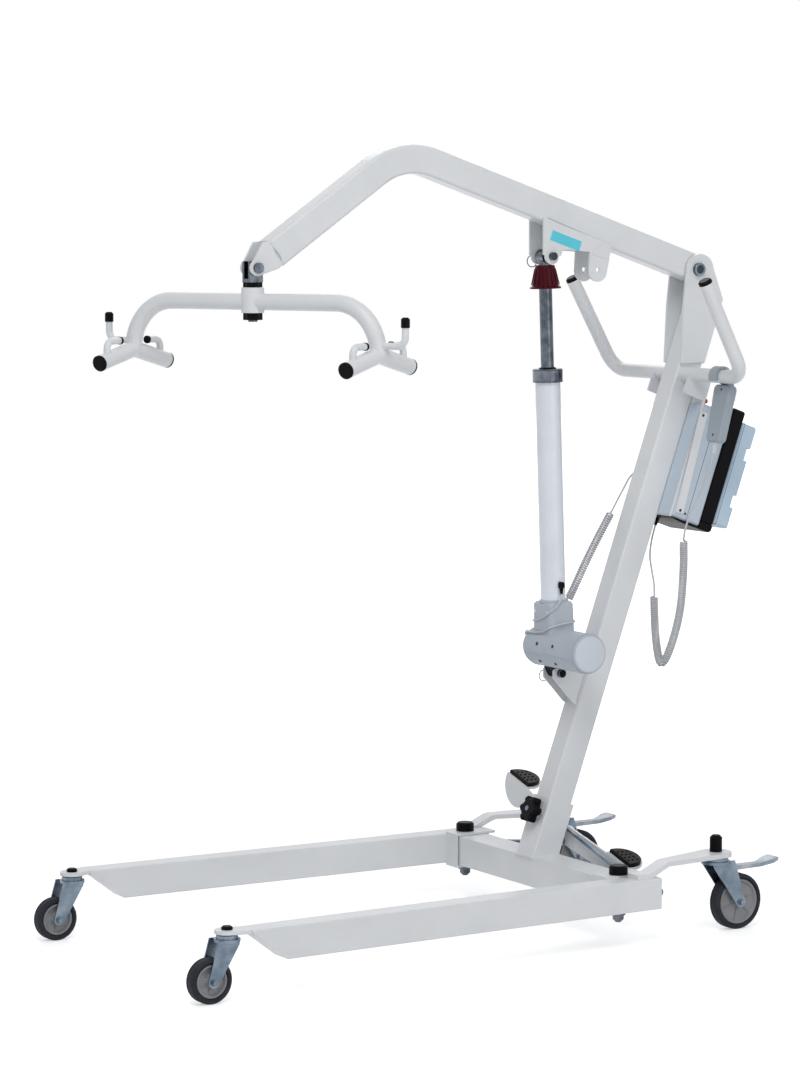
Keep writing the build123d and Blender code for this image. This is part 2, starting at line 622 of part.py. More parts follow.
with BuildPart() as mast_tube:
    with BuildSketch(MAST.offset(-30)):
        RectangleRounded(MAST_W, MAST_D, 4)
        RectangleRounded(MAST_W - 2 * MAST_WALL, MAST_D - 2 * MAST_WALL, 1.5, mode=Mode.SUBTRACT)
    extrude(amount=MAST_LENGTH + 30)
    split(bisect_by=BEAM_TOP, keep=Keep.TOP)
    with BuildSketch(across(-MAST_W, *HANDLE_CORNER[1:])):
        Circle(HANDLE_R)
    extrude(amount=2 * MAST_W, mode=Mode.SUBTRACT)
save(mast_tube.part, "mast_tube")

EAR_CENTRE = (330.0, 1168.0)
with BuildPart() as mast_ears:
    for x in (-EAR_GAP / 2 - EAR_T, EAR_GAP / 2):
        with BuildSketch(Plane.YZ.offset(x)):
            with BuildLine():
                Polyline((288, 1000), (341, 1000), (381.5, 1115), (359.5, 1172), (300.5, 1172), (293, 1104), close=True)
            make_face()
            with Locations(EAR_CENTRE):
                Circle(EAR_R)
            with Locations(BOOM_PIVOT):
                Circle(PIVOT_R, mode=Mode.SUBTRACT)
        extrude(amount=EAR_T)

# ---- boom ----------------------------------------------------------------------------------------
SLEEVE_R = 15.0
BOOM_BRACKET_T = 4.0

with BuildPart() as boom_tube:
    with BuildLine(Plane.YZ) as boom_path:
        FilletPolyline(BOOM_REAR, BOOM_KNEE, BOOM_FRONT, radius=BOOM_BEND_R)
    with BuildSketch(Plane(boom_path.line @ 0, x_dir=(1, 0, 0), z_dir=boom_path.line % 0)):
        RectangleRounded(BOOM_W, BOOM_D, 5)
        Rectangle(BOOM_W - 2 * TUBE_WALL, BOOM_D - 2 * TUBE_WALL, mode=Mode.SUBTRACT)
    sweep()
    with BuildSketch(across(-EAR_GAP / 2 + FACE_GAP, *BOOM_PIVOT)):
        Circle(SLEEVE_R)
    extrude(amount=EAR_GAP - 2 * FACE_GAP)
    with BuildSketch(across(-EAR_GAP, *BOOM_PIVOT)):
        Circle(PIVOT_R + RUNNING_FIT)
    extrude(amount=2 * EAR_GAP, mode=Mode.SUBTRACT)
save(boom_tube.part, "boom_tube")

with BuildPart() as boom_bracket:
    for x in (-BOOM_W / 2 - BOOM_BRACKET_T, BOOM_W / 2):
        with BuildSketch(Plane.YZ.offset(x)):
            with BuildLine():
                Polyline((-11, 1264), (-11, 1198), (10, 1192), (26, 1196), (30, 1207), (88, 1203), (86, 1168), (125, 1166),
                         (132, 1200), (136, 1215), close=True)
            make_face()
            with Locations(UPPER_PIN):
                Circle(14.5)
            with Locations((105.5, 1169)):
                Circle(19.5)
            with Locations(UPPER_PIN):
                Circle(ACT_PIN_R, mode=Mode.SUBTRACT)
            with Locations((105.5, 1171)):
                Circle(4.2, mode=Mode.SUBTRACT)
        extrude(amount=BOOM_BRACKET_T)
save(boom_bracket.part, "boom_bracket")

with BuildPart() as boom_tip:
    front = boom_path.line @ 1
    end_dir = boom_path.line % 1
    with BuildSketch(Plane(front, x_dir=(1, 0, 0), z_dir=end_dir)):
        RectangleRounded(BOOM_W, BOOM_D, 5)
    extrude(amount=TUBE_WALL)
    for x in (-CHEEK_OUT, CHEEK_OUT - CHEEK_T):
        with BuildSketch(Plane.YZ.offset(x)):
            with BuildLine():
                Polyline((-535, 1187), (-561, 1224), (-576, 1222), (-594, 1190), (-578, 1167.5), (-545, 1178), close=True)
            make_face()
            with Locations(TIP_PIN):
                Circle(14)
            with Locations(TIP_PIN):
                Circle(TIP_PIN_R + RUNNING_FIT, mode=Mode.SUBTRACT)
        extrude(amount=CHEEK_T)
    add(boom_tube.part, mode=Mode.SUBTRACT)
save(boom_tip.part, "boom_tip")

# ---- actuator ------------------------------------------------------------------------------------
HOUSING_HALF, HOUSING_TOP, HOUSING_FOOT = 28.0, ACT_TUBE[0], 62.0
FOOT_W, FOOT_R = 26.0, 8.5
CAP_LIP = 7.0

with BuildPart() as actuator_tube:
    with BuildSketch(ACT.offset(ACT_TUBE[0])):
        Circle(ACT_TUBE_R)
        Circle(ACT_BORE_R, mode=Mode.SUBTRACT)
    extrude(amount=ACT_TUBE[1] - ACT_TUBE[0])
save(actuator_tube.part, "actuator_tube")

with BuildPart() as actuator_end_ring:
    with BuildSketch(ACT.offset(ACT_TUBE[1])):
        Circle(END_RING_R)
        Circle(ROD_RADIUS + RUNNING_FIT, mode=Mode.SUBTRACT)
    extrude(amount=END_RING_T)
    chamfer(actuator_end_ring.edges().group_by(Axis.Z)[-1].sort_by(SortBy.LENGTH)[-1], 2)
save(actuator_end_ring.part, "actuator_end_ring")

with BuildPart() as actuator_housing:
    with BuildSketch(ACT.offset(HOUSING_FOOT)):
        RectangleRounded(2 * HOUSING_HALF + 6, 2 * HOUSING_HALF, 10)
    extrude(amount=HOUSING_TOP - HOUSING_FOOT, taper=1.5)
    chamfer(actuator_housing.faces().sort_by(Axis.Z)[-1].edges(), 4)
    with BuildSketch(across(MOTOR_X[0], *MOTOR_AXIS)):
        Circle(MOTOR_R)
    extrude(amount=MOTOR_X[1] - MOTOR_X[0] - CAP_LIP)
    fillet(actuator_housing.faces().sort_by(Axis.X)[0].edges(), MOTOR_R * 0.62)
    with BuildSketch(across(MOTOR_X[1] - CAP_LIP, *MOTOR_AXIS)):
        Circle(MOTOR_R - 1.2)
    extrude(amount=CAP_LIP)
    fillet(actuator_housing.faces().sort_by(Axis.X)[-1].edges(), 3)
save(actuator_housing.part, "actuator_housing")

with BuildPart() as actuator_foot:
    with BuildSketch(Plane.YZ.offset(-FOOT_W / 2)):
        with Locations(LOWER_PIN):
            Circle(FOOT_R)
        with Locations((MOTOR_AXIS[0] + 2, MOTOR_AXIS[1] - MOTOR_R + 6)):
            Rectangle(22, 12)
        make_hull()
        with Locations(LOWER_PIN):
            Circle(ACT_PIN_R + RUNNING_FIT, mode=Mode.SUBTRACT)
    extrude(amount=FOOT_W)
    add(actuator_housing.part, mode=Mode.SUBTRACT)
save(actuator_foot.part, "actuator_foot")

with BuildPart() as actuator_rod:
    with BuildSketch(ACT.offset(ROD_FOOT)):
        Circle(ROD_RADIUS)
    extrude(amount=ACT_LENGTH - ROD_FOOT - 6)
    with BuildSketch(across(-EYE_W / 2, *UPPER_PIN)):
        Circle(13)
    extrude(amount=EYE_W)
    with BuildSketch(across(-BOOM_W / 2 + FACE_GAP, *UPPER_PIN)):
        Circle(8)
    extrude(amount=BOOM_W - 2 * FACE_GAP)
save(actuator_rod.part, "actuator_rod")

with BuildPart() as lowering_collar:
    with BuildSketch(Plane(ACT.origin, x_dir=(1, 0, 0), z_dir=-ACT.y_dir)):
        bore = ROD_RADIUS + RUNNING_FIT
        low, high = COLLAR
        flare, waist, crown = COLLAR_R
        with BuildLine():
            Polyline((bore, low), (flare, low), (flare, low + 2.5), (waist, low + 5), (crown + 1, high - 4), (crown, high),
                     (bore, high), close=True)
        make_face()
    revolve(axis=Axis(ACT.origin, ACT.z_dir))
save(lowering_collar.part, "lowering_collar")

with BuildPart() as actuator_bracket:
    for x in (-BRACKET_IN - BRACKET_T, BRACKET_IN):
        with BuildSketch(Plane.YZ.offset(x)):
            with BuildLine():
                FilletPolyline((95, 456), (18, 456), (18, 438), (62, 390), (74, 384), radius=(6, 6, 6))
                Line((74, 384), (95, 456))
            make_face()
            with Locations(LOWER_PIN):
                Circle(ACT_PIN_R, mode=Mode.SUBTRACT)
        extrude(amount=BRACKET_T)
    with BuildSketch(MAST.offset(-30)):
        Rectangle(MAST_W, MAST_D)
    extrude(amount=MAST_LENGTH, mode=Mode.SUBTRACT)

# the plates welded to the mast: ears at its head and the actuator's bracket low on its front
with BuildPart() as mast_plates:
    add(mast_ears.part)
    add(actuator_bracket.part)
save(mast_plates.part, "mast_plates")

with BuildPart() as boom_bolts:
    for x, t, r in ((BOOM_W / 2 + BOOM_BRACKET_T, 7, 7.3), (-BOOM_W / 2 - BOOM_BRACKET_T - 5, 5, 8)):
        with BuildSketch(across(x, *UPPER_PIN)):
            Circle(r)
        extrude(amount=t)
    for x in (BOOM_W / 2, -BOOM_W / 2 - BOOM_BRACKET_T):
        with BuildSketch(across(x, *UPPER_PIN)):
            Circle(ACT_PIN_R)
        extrude(amount=BOOM_BRACKET_T)
save(boom_bolts.part, "boom_bolts")

# ---- bolts, nuts and black caps of the frame -----------------------------------------------------
EAR_FACE = EAR_GAP / 2 + EAR_T
BRACKET_FACE = BRACKET_IN + BRACKET_T
ROCKER_NUT_Y = ROCKER_Y + ROCKER_T + ROCKER_HUB_T + FACE_GAP

with BuildPart() as frame_bolts:
    add(pivot_bolts.part)
    for place, shank_r, face, head_r, head_t in (
        (BOOM_PIVOT, PIVOT_R, EAR_FACE, 12, 6), (LOWER_PIN, ACT_PIN_R, BRACKET_FACE, 7.5, 7),
    ):
        with BuildSketch(across(-face - head_t, *place)):
            Circle(shank_r)
        extrude(amount=2 * (face + head_t))
        with BuildSketch(across(face, *place)):
            Circle(head_r)
        extrude(amount=head_t)
        with BuildSketch(across(-face - head_t, *place)):
            RegularPolygon(head_r, 6)
        extrude(amount=head_t)
    with BuildSketch(Plane(origin=(0, ROCKER_NUT_Y, ROCKER_Z), x_dir=(1, 0, 0), z_dir=(0, 1, 0))):
        RegularPolygon(11, 6)
        Circle(ROCKER_PIN_R, mode=Mode.SUBTRACT)
    extrude(amount=5)
save(frame_bolts.part, "frame_bolts")

with BuildPart() as frame_caps:
    add(pivot_caps.part)
    for at, way in ((0, -1), (1, 1)):
        end = push_handle_path @ at
        add(dome(Plane(end, z_dir=way * (push_handle_path % at)), HANDLE_R, 7))
    side_face = Plane(MAST_SIDE.from_local_coords(Vector(0, PLUNGER_S, -FACE_N)), z_dir=(-1, 0, 0))
    add(dome(side_face, PLUNGER_R, PLUNGER_L))
save(frame_caps.part, "frame_caps")

# ---- hanger --------------------------------------------------------------------------------------
YOKE_OUT, YOKE_T, YOKE_W = 13.5, 6.0, 25.0
YOKE_FOOT_Z, YOKE_BASE_T = 1154.5, 6.0
BOLT_END_Z = 1088.0
WASHER_R, WASHER_LOBES = 14.0, 6

with BuildPart() as tip_pin:
    with BuildSketch(across(-CHEEK_OUT - FACE_GAP - 5, *TIP_PIN)):
        Circle(TIP_PIN_R)
    extrude(amount=2 * (CHEEK_OUT + FACE_GAP + 5))
    for x in (CHEEK_OUT + FACE_GAP, -CHEEK_OUT - FACE_GAP - 5):
        with BuildSketch(across(x, *TIP_PIN)):
            Circle(9)
        extrude(amount=5)
save(tip_pin.part, "tip_pin")

with BuildPart() as hanger_yoke:
    with BuildSketch(Plane(origin=(0, TIP_PIN[0] - YOKE_W / 2, 0), x_dir=(1, 0, 0), z_dir=(0, -1, 0))):
        with Locations((0, (YOKE_FOOT_Z + TIP_PIN[1] + 11) / 2)):
            Rectangle(2 * YOKE_OUT, TIP_PIN[1] + 11 - YOKE_FOOT_Z)
        with Locations((0, (YOKE_FOOT_Z + YOKE_BASE_T + TIP_PIN[1] + 11) / 2)):
            Rectangle(2 * (YOKE_OUT - YOKE_T), TIP_PIN[1] + 11 - YOKE_FOOT_Z - YOKE_BASE_T, mode=Mode.SUBTRACT)
    extrude(amount=-YOKE_W)
    with BuildSketch(across(-YOKE_OUT, *TIP_PIN)):
        Circle(TIP_PIN_R + RUNNING_FIT)
    extrude(amount=2 * YOKE_OUT, mode=Mode.SUBTRACT)
    with BuildSketch(Plane(origin=(0, SWIVEL_Y, BOLT_END_Z))):
        Circle(SWIVEL_R)
    extrude(amount=YOKE_FOOT_Z - BOLT_END_Z)
save(hanger_yoke.part, "hanger_yoke")

with BuildPart() as swivel_washers:
    for low, high in ((HUB_Z[1] + FACE_GAP, YOKE_FOOT_Z), (HUB_Z[0] - 12, HUB_Z[0] - FACE_GAP)):
        with BuildSketch(Plane(origin=(0, SWIVEL_Y, low))):
            Circle(WASHER_R)
            with PolarLocations(WASHER_R - 2.5, WASHER_LOBES):
                Circle(5)
            Circle(SWIVEL_R, mode=Mode.SUBTRACT)
        extrude(amount=high - low)
save(swivel_washers.part, "swivel_washers")


def on_bar(out, along, z):
    """A world point: out from the hub along the spreader, along a cross rail, and up."""
    return Vector(0, SWIVEL_Y, z) + out * BAR_DIR + along * RAIL_DIR


RAIL_TOP_Z = SPREADER_Z - SPREADER_DROP
CANE_FOOT_Z = RAIL_TOP_Z - RAIL_FALL * CANE_AT / RAIL_HALF
TIP_L = 7.0

with BuildPart() as spreader_bar:
    with BuildLine() as bar_path:
        FilletPolyline(
            on_bar(-SPREADER_HALF, 0, RAIL_TOP_Z), on_bar(-SPREADER_HALF, 0, SPREADER_Z),
            on_bar(SPREADER_HALF, 0, SPREADER_Z), on_bar(SPREADER_HALF, 0, RAIL_TOP_Z), radius=SPREADER_BEND,
        )
    with BuildSketch(Plane(bar_path.line @ 0, z_dir=bar_path.line % 0)):
        Circle(SPREADER_R)
    sweep()
    for side in (-1, 1):
        middle = on_bar(side * SPREADER_HALF, 0, RAIL_TOP_Z)
        for end in (-1, 1):
            foot = on_bar(side * SPREADER_HALF, end * RAIL_HALF, RAIL_TOP_Z - RAIL_FALL)
            add(rod_between(middle, foot, RAIL_R))
    with BuildSketch(Plane(origin=(0, SWIVEL_Y, HUB_Z[0]))):
        Circle(HUB_R)
    extrude(amount=HUB_Z[1] - HUB_Z[0])
    with BuildSketch(Plane(origin=(0, SWIVEL_Y, HUB_Z[0]))):
        Circle(SWIVEL_R + RUNNING_FIT)
    extrude(amount=HUB_Z[1] - HUB_Z[0], mode=Mode.SUBTRACT)
save(spreader_bar.part, "spreader_bar")


def bent_rod(points, radius, bend):
    """A round rod along a path of straight runs and one bend radius."""
    with BuildPart() as rod:
        with BuildLine() as path:
            FilletPolyline(*points, radius=bend)
        with BuildSketch(Plane(path.line @ 0, z_dir=path.line % 0)):
            Circle(radius)
        sweep()
    return rod.part


with BuildPart() as spreader_hooks:
    for side in (-1, 1):
        for end in (-1, 1):
            add(bent_rod([
                on_bar(side * SPREADER_HALF, end * CANE_AT, CANE_FOOT_Z),
                on_bar(side * SPREADER_HALF, end * CANE_AT, CANE_TOP),
                on_bar(side * SPREADER_HALF, end * (CANE_IN + TIP_L), CANE_TOP),
            ], HOOK_R, 14))
        add(bent_rod([
            on_bar(side * SPREADER_HALF, 0, CANE_TOP), on_bar(side * (SPREADER_HALF + POST_OUT), 0, CANE_TOP),
            on_bar(side * (SPREADER_HALF + POST_OUT), 0, POST_TOP),
        ], HOOK_R, 16))
    add(spreader_bar.part, mode=Mode.SUBTRACT)
save(spreader_hooks.part, "spreader_hooks")

with BuildPart() as spreader_caps:
    for side in (-1, 1):
        for end in (-1, 1):
            foot = on_bar(side * SPREADER_HALF, end * RAIL_HALF, RAIL_TOP_Z - RAIL_FALL)
            add(dome(Plane(foot, z_dir=foot - on_bar(side * SPREADER_HALF, 0, RAIL_TOP_Z)), RAIL_R, 6))
            tip = on_bar(side * SPREADER_HALF, end * (CANE_IN + TIP_L), CANE_TOP)
            add(dome(Plane(tip, z_dir=-end * RAIL_DIR), HOOK_R + 0.8, TIP_L))
        add(dome(Plane(on_bar(side * (SPREADER_HALF + POST_OUT), 0, POST_TOP)), HOOK_R + 1.5, TIP_CAP_H))
save(spreader_caps.part, "spreader_caps")

# ---- controls ------------------------------------------------------------------------------------
STOP_STEM_R, STOP_HEAD_T, STOP_RISE = 5.0, 7.0, 6.0


def mast_block(half_x, n_range, s_range, corner=0.0):
    """A block in the mast's frame, from n and s ranges, with its edges along X rounded."""
    with BuildPart() as block:
        with BuildSketch(MAST_SIDE.offset(-half_x)):
            with Locations((sum(n_range) / 2, sum(s_range) / 2)):
                Rectangle(n_range[1] - n_range[0], s_range[1] - s_range[0])
        extrude(amount=2 * half_x)
        if corner:
            chamfer(block.edges(), corner)
    return block.part


with BuildPart() as control_bracket:
    add(mast_block(BOX_HALF_X - 3, (WEB_N, WEB_N + WEB_T), (CONTROL_S[0], TAB_S[1])))
    for x in (-BOX_HALF_X + 3, BOX_HALF_X - 6):
        with BuildSketch(MAST_SIDE.offset(x)):
            with Locations(((TAB_FRONT_N + WEB_N) / 2, sum(TAB_S) / 2)):
                Rectangle(WEB_N - TAB_FRONT_N, TAB_S[1] - TAB_S[0])
        extrude(amount=3)
    add(push_handle.part, mode=Mode.SUBTRACT)
save(control_bracket.part, "control_bracket")

STOP = Plane(MAST.from_local_coords(Vector(STOP_X, STOP_N, CONTROL_S[1])), x_dir=(1, 0, 0), z_dir=MAST.z_dir)
with BuildPart() as control_box:
    add(mast_block(BOX_HALF_X, CONTROL_N, CONTROL_S, 4))
    with BuildSketch(STOP.offset(-12)):
        Circle(STOP_STEM_R + FACE_GAP)
    extrude(amount=20, mode=Mode.SUBTRACT)
save(control_box.part, "control_box")

with BuildPart() as battery_carrier:
    add(mast_block(BOX_HALF_X, CARRIER_N, CARRIER_S, 3))
save(battery_carrier.part, "battery_carrier")

with BuildPart() as battery:
    add(mast_block(BOX_HALF_X - 2, BATTERY_N, BATTERY_S, 3.5))
    for s_mid in (812, 722):
        add(mast_block(BOX_HALF_X, (BATTERY_N[1] - 10, BATTERY_N[1] + 5), (s_mid - 12, s_mid + 12)), mode=Mode.SUBTRACT)
save(battery.part, "battery")

with BuildPart() as stop_button:
    with BuildSketch(STOP.offset(-7)):
        Circle(STOP_STEM_R)
    extrude(amount=7 + STOP_RISE)
    with BuildSketch(STOP.offset(STOP_RISE)):
        Circle(STOP_R)
    extrude(amount=STOP_HEAD_T)
    chamfer(stop_button.faces().sort_by(Axis.Z)[-1].edges(), 2)
save(stop_button.part, "stop_button")

# ---- handset -------------------------------------------------------------------------------------
HS_LEAN = math.radians(HANDSET_LEAN_DEG)
HANDSET = Plane(origin=(HANDSET_X, *HANDSET_TOP), x_dir=(1, 0, 0), z_dir=(0, math.cos(HS_LEAN), -math.sin(HS_LEAN)))
HOOK_IN, HOOK_OUT, HOOK_HALF_W = HANDLE_R + 1.0, HANDLE_R + 5.5, 11.0
BUTTONS = {"up_button": 30.0, "down_button": 54.0}
BUTTON_DEPTH = 3.0
TUBE_AT = HANDLE_CORNER[1:]

with BuildPart() as handset:
    half = HANDSET_W / 2
    with BuildSketch(HANDSET.offset(-HANDSET_T / 2)) as handset_face:
        Polygon((half, 0), (half - 5, HANDSET_L), (5 - half, HANDSET_L), (-half, 0), align=None)
        fillet(handset_face.vertices(), 9)
    extrude(amount=HANDSET_T)
    chamfer(handset.faces().filter_by(HANDSET).edges(), 2.5)
    with BuildSketch(across(HANDSET_X - HOOK_HALF_W, *TUBE_AT)):
        Circle(HOOK_OUT)
        Polygon((0, 0), (40, -25), (0, -40), (-40, -20), align=None, mode=Mode.SUBTRACT)
        Polygon((4, -12), (24, -22), (21, 4), (13, 4), align=None)
        Circle(HOOK_IN, mode=Mode.SUBTRACT)
    extrude(amount=2 * HOOK_HALF_W)
    with BuildSketch(HANDSET.offset(HANDSET_T / 2 - BUTTON_DEPTH - BUTTON_TRAVEL)):
        with Locations(*[(0, down) for down in BUTTONS.values()]):
            Circle(BUTTON_R + FACE_GAP)
    extrude(amount=20, mode=Mode.SUBTRACT)
save(handset.part, "handset")

for name, down in BUTTONS.items():
    with BuildPart() as button:
        with BuildSketch(HANDSET.offset(HANDSET_T / 2 - BUTTON_DEPTH)):
            with Locations((0, down)):
                Circle(BUTTON_R)
        extrude(amount=BUTTON_DEPTH + 2)
        chamfer(button.faces().sort_by(Axis(HANDSET.origin, HANDSET.z_dir))[-1].edges(), 1)
    save(button.part, name)

# ---- curly cords ---------------------------------------------------------------------------------
# Each cord is one unbroken tube: a lead, a coil and a lead. A coil follows a smooth middle line, and its turns are
# drawn half a turn at a time, as two tangent arcs. The coil opens out from its middle line over its first turn and
# closes onto it over its last.
WIRE_R = 1.8
COIL_R = 4.6
WIRE_SIDES = 5
ARC_SHARE = 0.45  # how much of the shorter run an arc of a lead takes at each corner

HANDSET_FOOT = HANDSET.from_local_coords(Vector(0, HANDSET_L, 0))
CORD_SOCKET = MAST.from_local_coords(Vector(-5, 46, CONTROL_S[0]))
HANDSET_LEAD = [
    HANDSET_FOOT, HANDSET_FOOT + 22 * HANDSET.y_dir, Vector(125, 279.5, 806), Vector(114, 270.5, 770),
    Vector(104, 258, 736), Vector(97.5, 249, 706),
]
HANDSET_COIL = [Vector(95, 247, 680), Vector(92, 251, 635), Vector(85, 248, 537), Vector(60, 225.8, 439),
                Vector(33, 231, 496), Vector(20, 236.5, 573)]
HANDSET_TAIL = [Vector(17, 239.5, 595), Vector(11, 237.5, 622), Vector(3, 238, 648), Vector(-3, 246, 674),
                CORD_SOCKET - 22 * MAST.z_dir, CORD_SOCKET]
HANDSET_TURNS = 30

WEB_SOCKET = MAST.from_local_coords(Vector(-42, WEB_N, 727))
ACTUATOR_LEAD = [Vector(-18, 59, 562), Vector(-25, 71, 566)]
ACTUATOR_COIL = [Vector(-30, 84, 575), Vector(-31, 128, 654), Vector(-31, 174, 725)]
ACTUATOR_TAIL = [Vector(-33, 187, 744), Vector(-37, 207, 770), Vector(-41, 224, 792),
                 WEB_SOCKET - 26 * Vector(*MAST_BACK), WEB_SOCKET]
ACTUATOR_TURNS = 14


def lead(points, name):
    """Straight runs joined by tangent arcs, each as large as its two runs allow; prints the arcs' radii."""
    runs = [b - a for a, b in zip(points, points[1:])]
    radii = []
    for before, after in zip(runs, runs[1:]):
        turn = math.radians(before.get_angle(after))
        radii.append(ARC_SHARE * min(before.length, after.length) / math.tan(turn / 2))
    print(name, "arc radii", [round(radius, 1) for radius in radii])
    if radii:
        return FilletPolyline(*points, radius=radii)
    return Line(*points)


def middle_line(points, before, after, count):
    """Points along a smooth curve through the coil's points, evenly spaced along it, with its leads' directions."""
    slopes = [(points[0] - before).normalized()]
    slopes += [(b - a).normalized() for a, b in zip(points, points[2:])]
    slopes += [(after - points[-1]).normalized()]
    fine = []
    for start, end, slope, end_slope in zip(points, points[1:], slopes, slopes[1:]):
        reach = (end - start).length
        for i in range(200):
            t = i / 200
            fine.append(
                start * (2 * t**3 - 3 * t**2 + 1) + end * (3 * t**2 - 2 * t**3)
                + slope * (reach * (t**3 - 2 * t**2 + t)) + end_slope * (reach * (t**3 - t**2))
            )
    fine.append(points[-1])
    lengths = [0.0]
    for a, b in zip(fine, fine[1:]):
        lengths.append(lengths[-1] + (b - a).length)
    spaced, at = [], 0
    for i in range(count + 1):
        wanted = lengths[-1] * i / count
        while at < len(fine) - 2 and lengths[at + 1] < wanted:
            at += 1
        share = (wanted - lengths[at]) / (lengths[at + 1] - lengths[at])
        spaced.append(fine[at] + (fine[at + 1] - fine[at]) * share)
    return spaced


def helix_points(spine, turns, steps):
    """Points of the wire's middle, steps to a turn, wound round the spine without twisting."""
    out = []
    side = None
    for i, centre in enumerate(spine):
        ahead = (spine[min(i + 1, len(spine) - 1)] - spine[max(i - 1, 0)]).normalized()
        side = Vector(1, 0, 0) if side is None else side
        side = (side - ahead * side.dot(ahead)).normalized()
        up = ahead.cross(side)
        turn = i / steps
        ramp = max(0.0, min(1.0, turn, turns - turn))
        radius = COIL_R * ramp * ramp * (3 - 2 * ramp)
        angle = 2 * math.pi * turn
        out.append(centre + side * (radius * math.cos(angle)) + up * (radius * math.sin(angle)))
    return out


STEPS = 48


def coil(points, before, after, turns, name):
    """A coil's wire as tangent arcs, and its least gap to itself, printed."""
    wire = helix_points(middle_line(points, before, after, turns * STEPS), turns, STEPS)
    least = min(
        (a - b).length
        for i, a in enumerate(wire[::4]) for b in wire[::4][i + STEPS // 8: i + STEPS // 2]
    )
    print(name, "turns", turns, "least gap to itself", round(least - 2 * WIRE_R, 2))
    knots = list(range(0, len(wire), STEPS // 2))
    ways = [(wire[min(k + 1, len(wire) - 1)] - wire[max(k - 1, 0)]).normalized() for k in knots]
    ways[0] = (points[0] - before).normalized()
    ways[-1] = (after - points[-1]).normalized()
    arcs = []
    for k, next_k, way, next_way in zip(knots, knots[1:], ways, ways[1:]):
        start, end = wire[k], wire[next_k]
        gap, both = end - start, way + next_way
        turn = 2 * (1 - way.dot(next_way))
        reach = (math.sqrt(gap.dot(both) ** 2 + turn * gap.dot(gap)) - gap.dot(both)) / turn
        joint = (start + way * reach + end - next_way * reach) * 0.5
        first = TangentArc(start, joint, tangent=way)
        arcs += [first, TangentArc(joint, end, tangent=first % 1)]
    return arcs


def curly_cord(start, middle, tail, turns, name):
    """One unbroken tube along a lead, a coil and a lead."""
    with BuildLine() as path:
        lead(start + [middle[0]], name)
        coil(middle, start[-1], tail[0], turns, name)
        lead([middle[-1]] + tail, name)
    wire = path.wires()[0]
    with BuildPart() as cord:
        with BuildSketch(Plane(start[0], z_dir=start[1] - start[0])) as section:
            RegularPolygon(WIRE_R, WIRE_SIDES)
        sweep(section.sketch, path=wire, clean=False)
    area = section.sketch.area
    print(name, "length", round(wire.length, 1), "volume over section times length",
          round(cord.part.volume / (area * wire.length), 4), "valid", cord.part.is_valid)
    return cord.part


save(curly_cord(HANDSET_LEAD, HANDSET_COIL, HANDSET_TAIL, HANDSET_TURNS, "handset_cord"), "handset_cord")
save(curly_cord(ACTUATOR_LEAD, ACTUATOR_COIL, ACTUATOR_TAIL, ACTUATOR_TURNS, "actuator_cord"), "actuator_cord")
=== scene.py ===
import json
import math

import bmesh
import bpy
from mathutils import Matrix, Vector


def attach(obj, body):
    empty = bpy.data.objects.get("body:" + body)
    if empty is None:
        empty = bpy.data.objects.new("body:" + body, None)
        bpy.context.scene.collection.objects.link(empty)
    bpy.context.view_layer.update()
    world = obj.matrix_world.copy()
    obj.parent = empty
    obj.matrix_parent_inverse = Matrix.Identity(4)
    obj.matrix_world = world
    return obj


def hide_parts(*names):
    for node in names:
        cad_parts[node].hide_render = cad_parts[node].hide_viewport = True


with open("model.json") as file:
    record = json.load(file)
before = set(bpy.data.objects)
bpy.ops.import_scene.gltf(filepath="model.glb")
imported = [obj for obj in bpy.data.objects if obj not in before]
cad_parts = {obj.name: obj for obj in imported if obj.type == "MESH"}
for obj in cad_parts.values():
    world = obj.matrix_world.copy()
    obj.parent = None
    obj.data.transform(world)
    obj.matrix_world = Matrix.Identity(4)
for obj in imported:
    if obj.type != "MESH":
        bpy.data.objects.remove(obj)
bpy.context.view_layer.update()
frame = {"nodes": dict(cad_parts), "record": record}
NODES = frame["nodes"]
MM = 0.001

# ---- key places, in millimetres as in the part's source ----------------------------------
X_OUT = Vector((1, 0, 0))
LEAN = math.radians(19.8)
MAST_FOOT = Vector((0, -3, 118))
MAST_UP = Vector((0, math.sin(LEAN), math.cos(LEAN)))
MAST_BACK = Vector((0, math.cos(LEAN), -math.sin(LEAN)))
LOWER_PIN, UPPER_PIN = Vector((0, 33, 447)), Vector((0, 7, 1195.5))
ACT_UP = (UPPER_PIN - LOWER_PIN).normalized()
ACT_BACK = Vector((0, ACT_UP.z, -ACT_UP.y))
BOOM_PIVOT = Vector((0, 325, 1170))
PEDAL_PIN = Vector((0, 54, 150))
HANDSET_LEAN = math.radians(12.7)
HANDSET_TOP = Vector((130, 314, 963))
HANDSET_OUT = Vector((0, math.cos(HANDSET_LEAN), -math.sin(HANDSET_LEAN)))
HANDSET_DOWN = Vector((0, -math.sin(HANDSET_LEAN), -math.cos(HANDSET_LEAN)))
HANDSET_FOOT = HANDSET_TOP + HANDSET_DOWN * 105


def on_mast(x, n, s):
    """A point at x, n behind the mast's middle and s up it, in millimetres."""
    return MAST_FOOT + Vector((x, 0, 0)) + MAST_BACK * n + MAST_UP * s


def on_actuator(x, out, t):
    """A point beside the actuator's axis, t up it from its lower pin; out is to the rear."""
    return LOWER_PIN + Vector((x, 0, 0)) + ACT_BACK * out + ACT_UP * t


# ---- camera ------------------------------------------------------------------------------
CAMERA_AT = Vector((5.0431, -3.3581, 1.2565))
CAMERA_AZIMUTH = math.radians(58.722)
CAMERA_PITCH = math.radians(5.464)
FOCAL_PX, PHOTO_H = 3389.84, 1092.0
SENSOR = 36.0

